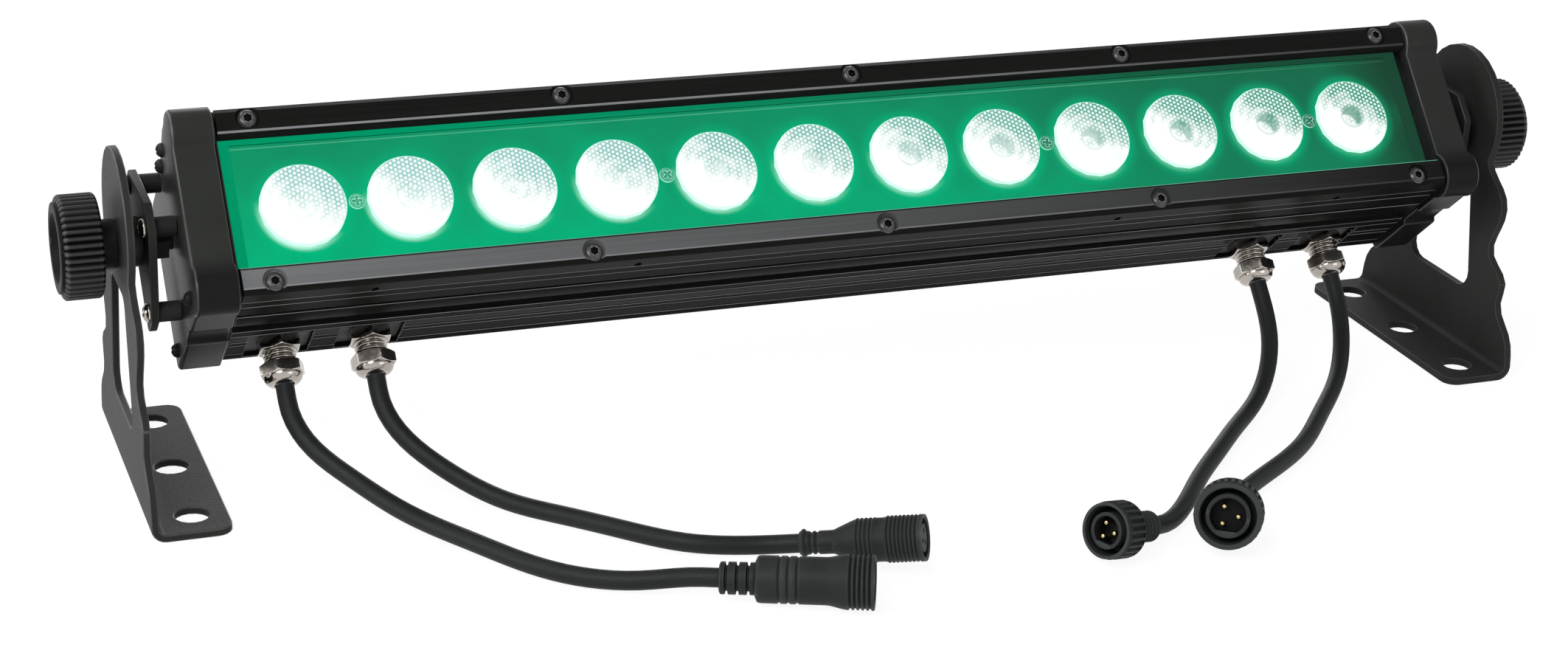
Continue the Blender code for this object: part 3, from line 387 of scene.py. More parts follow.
class Field:
    """A node's output, as a value that varies over a surface. Its arithmetic adds Math nodes."""

    def __init__(self, socket):
        self.socket = socket
        self.tree = socket.id_data

    def maths(self, operation, *others):
        """A Math node's result on this value and the others."""
        inputs = {f"i{number}": value for number, value in enumerate((self, *others))}
        return put(self.tree, "ShaderNodeMath", {"operation": operation}, **inputs)

    def __add__(self, other):
        return self.maths("ADD", other)

    def __sub__(self, other):
        return self.maths("SUBTRACT", other)

    def __mul__(self, other):
        return self.maths("MULTIPLY", other)

    def __truediv__(self, other):
        return self.maths("DIVIDE", other)

    def __pow__(self, other):
        return self.maths("POWER", other)

    def spread(self, low, high, to_low=0.0, to_high=1.0, smooth=False):
        """This value mapped from one range to another and held at its ends."""
        settings = {"interpolation_type": "SMOOTHSTEP" if smooth else "LINEAR", "clamp": True}
        return put(self.tree, "ShaderNodeMapRange", settings, "Result", Value=self, From_Min=low,
                   From_Max=high, To_Min=to_low, To_Max=to_high)

    def blend(self, one, two):
        """The colour that lies this share of the way from one colour to another."""
        one, two = ((*colour, 1.0) if isinstance(colour, tuple) else colour for colour in (one, two))
        return put(self.tree, "ShaderNodeMix", {"data_type": "RGBA"}, 2, i0=self, i6=one, i7=two)


def feed(node, **inputs):
    """Sets a node's inputs, by name or by an i and their number, each to a value or a field."""
    for name, value in inputs.items():
        numbered = name[0] == "i" and name[1:].isdigit()
        socket = node.inputs[int(name[1:]) if numbered else name.replace("_", " ")]
        if isinstance(value, Field):
            value.tree.links.new(value.socket, socket)
        else:
            socket.default_value = value
    return node


def put(tree, kind, settings=None, output=0, **inputs):
    """One output of a new node with its settings and inputs."""
    node = tree.nodes.new(kind)
    for name, value in (settings or {}).items():
        setattr(node, name, value)
    return Field(feed(node, **inputs).outputs[output])


def here_on(tree):
    """The Object coordinates of a point."""
    return put(tree, "ShaderNodeTexCoord", output="Object")


def effect(name, inputs, outputs):
    """A new shader node group with float sockets, and its input and output nodes."""
    group = bpy.data.node_groups.new(name, "ShaderNodeTree")
    for label, default in inputs.items():
        socket = group.interface.new_socket(name=label, in_out="INPUT", socket_type="NodeSocketFloat")
        socket.default_value = default
    for label in outputs:
        group.interface.new_socket(name=label, in_out="OUTPUT", socket_type="NodeSocketFloat")
    return group, group.nodes.new("NodeGroupInput"), group.nodes.new("NodeGroupOutput")


def bar_places():
    """Where a point lies on the bar: its distances along, up the face and out of it from the tilt axis."""
    group, _, out = effect("Bar Places", {}, ("Along", "Across", "Outward"))
    settings = {"operation": "SUBTRACT"}
    shifted = put(group, "ShaderNodeVectorMath", settings, i0=here_on(group), i1=tuple(PIVOT))
    for label, way in (("Along", ALONG), ("Across", ACROSS), ("Outward", OUTWARD)):
        settings = {"operation": "DOT_PRODUCT"}
        feed(out, **{label: put(group, "ShaderNodeVectorMath", settings, "Value", i0=shifted, i1=tuple(way))})


def drawn_lines():
    """Fine lines along the bar: noise stretched along X and squeezed across it."""
    group, given, out = effect("Drawn Lines", {"Fineness": 3000.0, "Run": 8.0}, ("Line",))
    run, fine = Field(given.outputs["Run"]), Field(given.outputs["Fineness"])
    scale = put(group, "ShaderNodeCombineXYZ", X=run, Y=fine, Z=fine)
    stretched = put(group, "ShaderNodeVectorMath", {"operation": "MULTIPLY"}, i0=here_on(group), i1=scale)
    noise = put(group, "ShaderNodeTexNoise", Vector=stretched, Scale=1.0, Detail=2.0)
    feed(out, Line=noise.spread(NOISE_LOW, NOISE_HIGH))


def fine_grain():
    """Grain of a moulded or sprayed surface, and slow patches over it: noise of two sizes."""
    group, given, out = effect("Fine Grain", {"Scale": 1500.0}, ("Grain", "Patch"))
    scale = Field(given.outputs["Scale"])
    noise = put(group, "ShaderNodeTexNoise", Vector=here_on(group), Scale=scale, Detail=3.0, Roughness=0.6)
    patch = put(group, "ShaderNodeTexNoise", Vector=here_on(group), Scale=38.0, Detail=2.0)
    feed(out, Grain=noise.spread(NOISE_LOW, NOISE_HIGH), Patch=patch.spread(NOISE_LOW, NOISE_HIGH))


def bends():
    """How sharply a surface bends outwards, as along a ridge, and inwards, as in a groove."""
    group, given, out = effect("Bends", {"Reach": 0.06}, ("Ridge", "Groove"))
    bend = put(group, "ShaderNodeNewGeometry", output="Pointiness") - 0.5
    share = bend / Field(given.outputs["Reach"])
    feed(out, Ridge=share.spread(0.1, 1.0), Groove=share.spread(-0.1, -1.0))


def placed(tree, name, **values):
    """The outputs, by name, of a shared effect placed in a material with its own values."""
    node = tree.nodes.new("ShaderNodeGroup")
    node.node_tree = bpy.data.node_groups[name]
    return {socket.name: Field(socket) for socket in feed(node, **values).outputs}


def new_finish(name, specular, **constants):
    """A new material's tree, and its Principled shader with its constants set."""
    made = bpy.data.materials.new(name)
    made.use_nodes = True
    tree = made.node_tree
    return tree, feed(tree.nodes["Principled BSDF"], Specular_IOR_Level=specular, **constants)


def raised(shader, height, depth, distance):
    """A bump from a height, on the shader's normal."""
    feed(shader, Normal=put(height.tree, "ShaderNodeBump", Strength=depth, Distance=distance, Height=height))


def grained_finish(name, dark, light, roughness, scale, depth, specular=0.25, metallic=0.0, ridge=None,
                   groove=None, under=None):
    """A moulded, sprayed or plated finish: two tones in patches, grain in roughness and bump, and on a
    closely drawn piece a painted highlight on its ridges and a painted shade in its grooves. A painted shade
    for the underside fades in down the bar's face."""
    tree, shader = new_finish(name, specular, Metallic=metallic)
    grain = placed(tree, "Fine Grain", Scale=scale)
    colour = grain["Patch"].blend(dark, light)
    # painted shade: the tone darkens down the bar's face towards the underside
    if under is not None:
        low = placed(tree, "Bar Places")["Across"].spread(-0.018, -0.030, smooth=True)
        colour = low.blend(colour, under)
    # painted highlight on ridges and painted shade in grooves
    for way, other in (("Ridge", ridge), ("Groove", groove)):
        if other is not None:
            colour = placed(tree, "Bends")[way].blend(colour, other)
    feed(shader, Base_Color=colour, Roughness=grain["Grain"].spread(0, 1, *roughness))
    raised(shader, grain["Grain"], depth, 0.0002)


def drawn_finish(name, dark, light, roughness, fineness, specular, left=None, full=-0.245, pocket_light=None):
    """Anodised metal with lines drawn along it. A left colour, a painted sheen, fades in evenly from the bar's
    right end and is full at the given place. A pale colour, painted light, marks the floors of the gland
    pockets."""
    tree, shader = new_finish(name, specular)
    line = placed(tree, "Drawn Lines", Fineness=fineness)["Line"]
    colour = line.blend(dark, light)
    # painted reflection: a sheen that fades in towards the bar's left end
    if left is not None:
        share = placed(tree, "Bar Places")["Along"].spread(0.235, full)
        colour = share.blend(colour, line.blend(left, grey(1.25, left)))
    # painted light: the gland pockets' floors are lifted to a paler grey
    if pocket_light is not None:
        places = placed(tree, "Bar Places")
        deep = places["Across"].maths("COMPARE", -POCKET_FLOOR, CLEAR)
        within = places["Outward"].maths("COMPARE", POCKET_N, POCKET_HALF)
        colour = (deep * within).blend(colour, line.blend(pocket_light, grey(1.4, pocket_light)))
    feed(shader, Base_Color=colour, Roughness=line.spread(0, 1, *roughness))
    raised(shader, line, 0.12, 0.00005)


def grey(level, tint=WHITE):
    """A tint at a level."""
    return tuple(level * part for part in tint)


def distance(across, up):
    """Length of a flat vector."""
    return (across * across + up * up).maths("SQRT")


def lens_spot(tree):
    """A point's place on the bar, and on its own lens: across and up from the lens's centre, in lens radii.
    The place along is held just inside the row, so that the ends belong to the outer lenses."""
    places = placed(tree, "Bar Places")
    row, inset = LENS_COUNT * LENS_PITCH, 0.0001
    held = places["Along"].spread(inset - row / 2, row / 2 - inset, inset, row - inset)
    across = (held.maths("FLOORED_MODULO", LENS_PITCH) - LENS_PITCH / 2) / LENS_RADIUS
    return places, across, places["Across"] / LENS_RADIUS


def pillows(places):
    """A lens's net of small pillows, 0 in the lines between them and 1 on their crowns: the sum of three
    cosine waves, 60 degrees apart, of the place on the lens."""
    waves = []
    for turn in NET_TURNS:
        way = places["Along"] * (NET_WAVE * cos(turn)) + places["Across"] * (NET_WAVE * sin(turn))
        waves.append(way.maths("COSINE"))
    return (waves[0] + waves[1] + waves[2]).spread(NET_LOW, NET_HIGH)


def lens_finish(looks):
    """Lit acrylic: white towards the lower left. The net of pillows shows the LED's colour towards the upper
    right, the more so on the right-hand lenses. In the dimple a crescent of that colour lies round a white
    spot."""
    tree, shader = new_finish("lit_lens", 0.1, Emission_Strength=1.0, Base_Color=(0.02, 0.03, 0.028, 1),
                              Roughness=0.15)
    places, across, up = lens_spot(tree)
    reach = distance(across, up)
    drift = put(tree, "ShaderNodeTexNoise", Vector=here_on(tree), Scale=150.0, Detail=1.0)
    lean = across * 0.40 + up * 0.62 + (drift - 0.5) * 0.7
    arcs = (reach * 26.0).maths("SINE") * 0.07
    cool = (lean + arcs).spread(-0.10, 0.42)
    right = places["Along"].spread(-0.16, 0.22)
    shade = right.blend(looks.lens_left, looks.lens_right)
    crown = right.blend(WHITE, (0.80, 1.0, 0.94))
    colour = cool.blend(WHITE, pillows(places).blend(shade, crown))
    ring = reach.spread(0.26, 0.29) * reach.spread(0.34, 0.31) * right.spread(0, 1, 0.06, 0.34)
    spot = distance(across + 0.08, up + 0.11)
    cup = reach.spread(0.30, 0.26) * spot.spread(0.22, 0.27) * right.spread(0.1, 1, 0.05, 0.74)
    colour = ring.maths("MAXIMUM", cup).blend(colour, shade)
    rim = reach.spread(0.965, 0.985)
    feed(shader, Emission_Color=rim.blend(colour, (0.70, 1.0, 0.90)))


def plate_finish(looks):
    """The black plate round the lenses under the lamp's own haze: the LED's colour, weaker towards the right
    end and the top, a halo that fades with the distance from each lens, a flare below it and a line along the
    top."""
    tree, shader = new_finish("lens_plate_lit", 0.0, Emission_Strength=1.0,
                              Base_Color=(0.002, 0.003, 0.003, 1))
    places, across, up = lens_spot(tree)
    reach = distance(across, up)
    along, height = places["Along"], places["Across"]
    grain = placed(tree, "Fine Grain", Scale=900.0)
    haze = along.spread(0.16, 0.02, 0.42, 0.76, smooth=True) * height.spread(0.024, -0.024, 0.70, 1.04)
    haze = haze * along.spread(0.0, -0.22, 1.0, 1.12) * along.spread(0.250, 0.205, 0.22, 1.0, smooth=True)
    haze = haze * grain["Patch"].spread(0, 1, 0.9, 1.1)
    halo = reach.spread(1.38, 1.0, smooth=True) ** 1.4
    glow = haze + halo * along.spread(-0.10, 0.20, 0.14, 0.40)
    colour = glow.maths("MINIMUM", 1.0).blend(looks.plate_dark, looks.led_haze)
    line = height.spread(0.0240, 0.0243) * height.spread(0.0247, 0.0244)
    colour = (line * along.spread(0.22, 0.12, 0.06, 0.26)).blend(colour, (0.30, 0.85, 0.60))
    lower = (across * -0.45 + up * -0.9).spread(0.25, 1.0)
    flare = reach.spread(1.17, 1.0, smooth=True) ** 1.3 * (lower * along.spread(0.20, -0.20, 0.10, 0.95))
    colour = flare.blend(colour, looks.led_flare)
    feed(shader, Emission_Color=colour, Roughness=grain["Grain"].spread(0, 1, 0.45, 0.6))


def glow_finish(name, colour, strength, base, roughness, ends, ridge=None, dark=BLACK):
    """A surface that the lamp lights from inside, shown as a painted glow, its tone drifting from the dark one by
    other shares at the bar's right and left ends. Its edges take a painted highlight and its grooves a painted
    shade."""
    tree, shader = new_finish(name, 0.0, Emission_Strength=strength, Roughness=roughness)
    fade = placed(tree, "Bar Places")["Along"].spread(0.26, -0.20, *ends, smooth=True)
    lit = fade.blend(dark, colour)
    # painted highlight on the edges and painted shade in the grooves
    if ridge is not None:
        bend = placed(tree, "Bends", Reach=0.05)
        lit = bend["Groove"].blend(bend["Ridge"].blend(lit, ridge), (0.0, 0.05, 0.03))
    patch = placed(tree, "Fine Grain", Scale=700.0)["Patch"]
    feed(shader, Emission_Color=lit, Base_Color=patch.blend(base, grey(1.6, base)))


def glass_finish():
    """Clear glass with an index far below the real one, so that it hardly mirrors, and a slightly uneven
    gloss."""
    tree, shader = new_finish("front_glass_clear", 0.05, Base_Color=(0.97, 1.0, 0.985, 1),
                              Transmission_Weight=1.0, IOR=1.025)
    patch = placed(tree, "Fine Grain", Scale=60.0)["Patch"]
    feed(shader, Roughness=patch.spread(0, 1, 0.10, 0.16))


def make_finishes(looks):
    """Every finish of the part, each under its own name."""
    for build in (bar_places, drawn_lines, fine_grain, bends):
        build()
    black, rubbed, cast, powder = looks.anodised, looks.rubbed, looks.cast, looks.powder
    nylon, sheath, nickel = looks.nylon, looks.sheath, looks.nickel
    # painted light on the floors of the gland pockets
    drawn_finish("anodised_profile", grey(0.6, black), grey(1.4, black), (0.26, 0.40), 2200.0, 0.008,
                 pocket_light=looks.strip_left)
    drawn_finish("anodised_strip", black, grey(1.6, black), (0.28, 0.40), 2600.0, 0.018)
    # painted reflection: the lower strip's face takes a sheen towards the left end
    drawn_finish("anodised_sheen", black, grey(1.6, black), (0.34, 0.46), 2600.0, 0.05, looks.strip_left)
    # painted highlights along the strips' edges, brighter to the left, and along the extrusion's bevels
    drawn_finish("strip_edge_highlight", grey(0.3, rubbed), grey(0.5, rubbed), (0.24, 0.36), 1500.0, 0.12,
                 grey(2.3, rubbed), -0.05)
    drawn_finish("housing_edge_highlight", grey(1.5, rubbed), grey(3.5, rubbed), (0.24, 0.36), 1500.0, 0.2)
    # painted shade down the caps' faces towards the underside; painted highlight on their edges
    grained_finish("cast_cap", cast, grey(1.25, cast), (0.32, 0.44), 1800.0, 0.10, 0.06,
                   under=grey(0.4, cast))
    grained_finish("cast_edge_highlight", grey(2.2, cast), grey(3.0, cast), (0.26, 0.38), 1800.0, 0.10, 0.3, under=cast)
    grained_finish("powder_coat", powder, grey(1.25, powder), (0.44, 0.58), 1300.0, 0.25, 0.07)
    # painted highlight on the bevelled edges of the feet and end plates
    grained_finish("powder_edge_highlight", grey(1.8, powder), grey(2.4, powder), (0.36, 0.48), 1300.0, 0.20, 0.3)
    # painted highlights on the ridges and painted shade in the grooves of knobs and connectors
    grained_finish("knob_nylon", grey(0.005), grey(0.008), (0.28, 0.40), 1600.0, 0.10, 0.18,
                   ridge=grey(0.050), groove=grey(0.001))
    grained_finish("knob_face", grey(0.005), grey(0.008), (0.38, 0.50), 1600.0, 0.10, 0.04,
                   ridge=grey(0.04), groove=grey(0.002))
    grained_finish("connector_nylon", nylon, grey(1.4, nylon), (0.44, 0.58), 1200.0, 0.22, 0.12,
                   ridge=grey(2.4, nylon), groove=grey(0.3, nylon))
    grained_finish("cable_sheath", sheath, grey(1.35, sheath), (0.44, 0.58), 1000.0, 0.22, 0.16)
    # painted highlights on the edges and painted shade in the threads and sockets of nickel parts and screws
    grained_finish("nickel", nickel, grey(0.8, nickel), (0.12, 0.20), 600.0, 0.04, 0.5, 1.0,
                   grey(1.7, nickel), grey(0.12, nickel))
    grained_finish("brass_pin", (0.72, 0.56, 0.28), (0.60, 0.45, 0.22), (0.20, 0.32), 900.0, 0.03, 0.5, 1.0)
    grained_finish("black_screw", grey(0.012), grey(0.020), (0.22, 0.34), 900.0, 0.06, 0.3, 0.6,
                   grey(0.32), grey(0.002))
    grained_finish("seal_silicone", grey(0.008), grey(0.012), (0.60, 0.75), 900.0, 0.15, 0.15)
    grained_finish("circuit_board", (0.010, 0.12, 0.07), (0.014, 0.16, 0.09), (0.38, 0.50), 800.0, 0.10)
    lens_finish(looks)
    plate_finish(looks)
    # painted glow on the seal, the lower strip's lip and the lens plate's screws
    glow_finish("lit_seal", looks.led_haze, 0.62, (0.002, 0.003, 0.003), 0.5, (0.13, 1.0),
                dark=grey(1.6, looks.plate_dark))
    glow_finish("lit_lip", (0.22, 0.85, 0.58), 0.60, (0.03, 0.03, 0.03), 0.4, (0.75, 0.60))
    glow_finish("lit_screw", (0.05, 0.42, 0.25), 1.0, (0.01, 0.02, 0.015), 0.3, (0.35, 1.0),
                (0.50, 0.95, 0.75))
    glass_finish()


def strip_rows(side):
    """A retaining strip's section, outer foot to inner foot: upright side, bevel, flat face, a small round
    corner and a convex lip drawn down to the glass. With it, the finish of each column of cells."""
    face, lip = 0.0310, 0.0266
    upright = np.column_stack([np.full(14, 0.0365), np.linspace(0.0225, 0.0290, 14)])
    bevel = np.column_stack([np.linspace(0.0365, 0.0345, 10), np.linspace(0.0293, face, 10)])
    flat = np.column_stack([np.linspace(0.0344, 0.0278, 30), np.full(30, face)])
    ends = np.array(((0.0273, 0.0306), (0.0258, 0.0303), (0.0251, 0.0272)))
    nose = arc(np.linspace(0, 1, 12)[:, None], *ends)
    foot = [(0.0253, lip), (0.0310, lip), (0.0310, 0.0225)]
    rows = np.concatenate([upright, bevel, flat, nose, foot])
    flat_at = len(upright) + len(bevel)
    nose_at = flat_at + len(flat)
    marks = np.full(len(rows), STRIP_PLAIN)
    # painted highlight lines along the edges; on the lower strip a painted sheen on the face and a painted glow on
    # the lip
    if side > 0:
        marks[nose_at:nose_at + 3] = STRIP_HIGHLIGHT
    else:
        marks[flat_at + 1:nose_at + 1] = STRIP_FACE
        marks[flat_at - 2:flat_at + 1] = STRIP_HIGHLIGHT
        marks[nose_at + 4:nose_at + 9] = STRIP_LIP
    return rows * (side, 1), marks


def strip_patches(side):
    """The strip's section carried along the bar. At each screw a round sink: inside its radius the face is
    lowered to the sink's floor by a smooth step of the distance from the screw. At each drain of the lower
    strip an arch: the side is pushed in by a smooth step of the distance from the arch's middle line."""
    rows, marks = strip_rows(side)
    stations = np.concatenate([np.linspace(-HOUSING_END, HOUSING_END, 80)]
                              + [np.linspace(x - 0.0056, x + 0.0056, 45) for x in STRIP_SCREWS]
                              + [np.linspace(x - 0.0018, x + 0.0018, 25) for x in STRIP_DRAINS])
    stations = np.unique(np.round(stations, 7))
    x, v = np.meshgrid(stations, rows[:, 0], indexing="ij")
    n = np.broadcast_to(rows[:, 1], x.shape)
    gap = np.min(np.hypot(x[..., None] - STRIP_SCREWS, (v - side * STRIP_SCREW_V)[..., None]), axis=-1)
    step = smooth_step(np.clip((0.00455 - gap) / 0.0004, 0, 1)) * (n > 0.0285)
    if side < 0:
        above = np.maximum(n - 0.0243, 0)[..., None]
        arch = np.min(np.hypot(x[..., None] - STRIP_DRAINS, above), axis=-1)
        push = np.clip((0.0013 - arch) / 0.0003, 0, 1) * (v < -0.0364) * (n < 0.0292)
        v = v + 0.0014 * smooth_step(push)
    n = n + step * (np.minimum(n, STRIP_SINK_FLOOR) - n)
    points = on_bar(x, v, n)
    return [Patch(points, False, True, marks)] + ends_of(points)


def ends_of(points):
    """The two end faces of a section carried along the bar: each a fan from the section's mean point."""
    caps = [np.stack([ring, np.broadcast_to(ring.mean(axis=0), ring.shape)]) for ring in points[[0, -1]]]
    return [Patch(cap, False, True, 0) for cap in caps]


def button_screw(place, radius, socket, tall):
    """A button-head screw with a hexagon socket, as rows turned about its axis."""
    inner, under = socket / 2 * 1.1, -0.0002
    head = [(socket / 2 * 1.25, tall), (radius * 0.72, tall * 0.93), (radius, tall * 0.32), (radius, under)]
    profile = np.concatenate([[(0, 0.35 * tall), (inner, 0.35 * tall), (inner, tall)],
                              rounded(head, radius * 0.3, 5), [(0, under)]])
    rows = np.zeros(len(profile), bool)
    rows[1:3] = True
    return turned(profile, 36, place, hexagon(socket, rows))


def pan_screw(place, radius, tall, turn, mark=0):
    """A pan-head screw: a dome over the radius, sunk along two crossed slots by steps of the distance from
    each slot's middle line."""
    dome_share = np.linspace(0, 0.98, 26)
    share = np.concatenate([dome_share, [1.0, 1.0, 0.0]])
    dome = tall * np.concatenate([1 - 0.72 * dome_share ** 3.2, [0.2, -0.05, -0.05]])
    angle = round_angles(64)
    x, y = share * radius * np.cos(angle), share * radius * np.sin(angle)
    ways = (x * cos(turn) + y * sin(turn), y * cos(turn) - x * sin(turn))
    slot = np.maximum(*(np.clip((0.17 * radius - np.abs(way)) / (0.06 * radius) + 0.5, 0, 1) for way in ways))
    slot = slot * np.clip((0.66 - share) / 0.10, 0, 1) * (np.arange(len(share)) < len(dome_share))
    local = np.stack([x, y, dome - slot * 0.55 * tall], axis=-1)
    return Patch(place.origin + local @ place.rows, True, False, mark)


def socket_core(place, radius, face, holes, hole_radius, key):
    """A socket's insulator: a disc sunk at its contact holes by steps of the distance from each, with its
    wall down to the slot's floor."""
    share = np.concatenate([np.linspace(0, 1, 30), [1.0]])
    angle = round_angles(SOCKET_STEPS)
    x, y = share * radius * np.cos(angle), share * radius * np.sin(angle)
    away = np.min(np.hypot(x[..., None] - holes[:, 0], y[..., None] - holes[:, 1]), axis=-1)
    height = face - 0.0030 * np.clip((hole_radius - away) / 0.0002 + 0.5, 0, 1)
    height[:, -1] = face - key
    return Patch(place.origin + np.stack([x, y, height], axis=-1) @ place.rows, True, False, 0)


def measure(label, told, default):
    """A length property."""
    return bpy.props.FloatProperty(name=label, description=told, default=default, unit="LENGTH", precision=5)


def tone(label, told, *rgb):
    """A colour property."""
    return bpy.props.FloatVectorProperty(name=label, description=told, subtype="COLOR", size=3, min=0, max=1,
                                         default=rgb)


class BattenSizes(bpy.types.PropertyGroup):
    """Sizes of the details that the solids leave plain."""

    flutes: bpy.props.IntProperty(name="Knob flutes", description="Flutes round each tilt knob", default=44,
                                  min=12)
    flute_depth: measure("Flute depth", "Depth of the knob's flutes", 0.0012)
    cable: measure("Cable diameter", "Outside of the leads' sheath", 0.0070)
    strip_screw: measure("Strip screw", "Head radius of the strips' screws", 0.0036)
    cap_screw: measure("Cap screw", "Head radius of the end caps' screws", 0.0027)
    edge: measure("Edge rounding", "Rounding of sheet and cast edges", 0.0005)


class BattenLooks(bpy.types.PropertyGroup):
    """Colours of the finishes and of the light."""

    anodised: tone("Anodised", "Black of the extrusion and strips", 0.0066, 0.0072, 0.0064)
    # painted light: the sheen on the lower strip's left end and the lift on the gland pockets' floors
    strip_left: tone("Strip, left", "Lower strip's left end, and gland pockets", 0.120, 0.122, 0.125)
    # painted highlight: the grey of edges where they catch the light
    rubbed: tone("Edge highlights", "Grey along the extrusion's and strips' edges", 0.075, 0.076, 0.078)
    cast: tone("Cast caps", "Satin black of the end caps", 0.0215, 0.0230, 0.0213)
    powder: tone("Powder coat", "Black of the feet, plates and spacers", 0.0210, 0.0218, 0.0203)
    nylon: tone("Nylon", "Black of the connectors", 0.0145, 0.0160, 0.0160)
    sheath: tone("Sheath", "Black of the cables", 0.0110, 0.0125, 0.0125)
    nickel: tone("Nickel", "Plated glands and nuts", 0.40, 0.37, 0.335)
    led_haze: tone("Haze", "Lit plate round the lenses", 0.000, 0.480, 0.215)
    led_flare: tone("Flare", "Brightest haze at a lens's edge", 0.55, 1.0, 0.82)
    lens_left: tone("Lens net, left", "Lines between the left lenses' pillows", 0.26, 0.55, 0.54)
    lens_right: tone("Lens net, right", "Lines between the right lenses' pillows", 0.0, 0.23, 0.13)
    plate_dark: tone("Dark plate", "Plate away from the haze", 0.0130, 0.0225, 0.0170)
    floor: tone("Floor", "Studio floor and backdrop", 0.90, 0.90, 0.90)


def looks_of(scene):
    """The colours as plain tuples by name."""
    looks = scene.batten_looks
    return SimpleNamespace(**{name: tuple(getattr(looks, name)) for name in BattenLooks.__annotations__})


class BATTEN_OT_finishes(bpy.types.Operator):
    """Make the shared effects and every finish"""

    bl_idname = "batten.finishes"
    bl_label = "Finishes"

    def execute(self, context):
        make_finishes(looks_of(context.scene))
        return {"FINISHED"}


class BATTEN_OT_stage(bpy.types.Operator):
    """Set up the camera, the lamps, the world and the floor"""

    bl_idname = "batten.stage"
    bl_label = "Stage"

    def execute(self, context):
        scene = context.scene
        scene.view_settings.view_transform = "Standard"
        camera = bpy.data.cameras.new("view")
        camera.lens = 67.470364
        camera.sensor_width = 36.0
        camera.clip_end = 20.0
        holder = bpy.data.objects.new("view", camera)
        holder.location = (-0.428242, -1.014221, 0.479806)
        holder.rotation_euler = (radians(67.770803), radians(-2.424896), radians(-20.772648))
        scene.collection.objects.link(holder)
        scene.camera = holder
        self.floor(scene, looks_of(scene).floor)
        self.world(scene)
        for name, values in LAMPS.items():
            self.lamp(scene, name, *values)
        return {"FINISHED"}

    def lamp(self, scene, name, place, target, size, power):
        """A square soft box turned to its target."""
        light = bpy.data.lights.new(name, "AREA")
        light.size = size
        light.energy = power
        holder = bpy.data.objects.new(name, light)
        way = np.subtract(place, target)
        lean = np.arctan2(np.hypot(way[0], way[1]), way[2])
        holder.location = place
        holder.rotation_euler = (lean, 0, np.arctan2(way[0], -way[1]))
        scene.collection.objects.link(holder)

    def floor(self, scene, colour):
        """A pale sheet carried round the upright axis: flat, then a quarter circle, then upright."""
        flat, bend, top, below, steps = 5.0, 1.5, 5.0, 0.0002, 96
        angle = np.linspace(0, pi / 2, 17)
        reach = np.concatenate([[0.0], flat + bend * np.sin(angle), [flat + bend]])
        height = np.concatenate([[0.0], bend - bend * np.cos(angle), [top]]) - below
        sheet = turned(np.column_stack([reach, height]), steps, Place(np.zeros(3), np.eye(3))).points
        mesh = bpy.data.meshes.new("floor")
        mesh.from_pydata(sheet.reshape(-1, 3).tolist(), [], quads(*sheet.shape[:2], True, False).tolist())
        close_up(mesh)
        mesh.shade_smooth()
        made = bpy.data.materials.new("floor_paper")
        made.use_nodes = True
        tree = made.node_tree
        tree.nodes.remove(tree.nodes["Principled BSDF"])
        seen = put(tree, "ShaderNodeLightPath", output="Is Camera Ray")
        for ray in ("Is Glossy Ray", "Is Transmission Ray"):
            seen = seen.maths("MAXIMUM", put(tree, "ShaderNodeLightPath", output=ray))
        paper = put(tree, "ShaderNodeBsdfDiffuse", Color=(*colour, 1))
        white = put(tree, "ShaderNodeEmission", Color=(1, 1, 1, 1), Strength=1.06)
        mixed = put(tree, "ShaderNodeMixShader", i0=seen * 0.86, i1=paper, i2=white)
        feed(tree.nodes["Material Output"], Surface=mixed)
        mesh.materials.append(made)
        piece = bpy.data.objects.new("floor", mesh)
        scene.collection.objects.link(piece)

    def world(self, scene):
        """An even grey sky above the sheet."""
        world = bpy.data.worlds.new("room")
        world.use_nodes = True
        feed(world.node_tree.nodes["Background"], Color=(1, 1, 1, 1), Strength=0.45)
        scene.world = world


class BATTEN_OT_leads(bpy.types.Operator):
    """Lay the four cables along their routes"""

    bl_idname = "batten.leads"
    bl_label = "Leads"

    def execute(self, context):
        radius = context.scene.batten_sizes.cable / 2
        for name, lead in LEADS.items():
            outlet = on_bar(lead.gland_x, -GLAND_NUT_OUT - CLEAR, GLAND_N)
            way = facing(lead)
            back = np.array(lead.back) - way * CLEAR
            free = [outlet - ACROSS * CABLE_LEAD, *lead.route, back - way * CABLE_LEAD]
            path = np.vstack([outlet, spline(free, -ACROSS, way, CABLE_STEP), back])
            start = (-0.6 if lead.gland_x < 0 else 0.6, -0.3, 0.75)
            piece = make_piece(f"{name}_sheath", [tube(path, radius, 32, start)],
                               ["cable_sheath"], [f"{name}_cable"])
            2 * radius
        return {"FINISHED"}


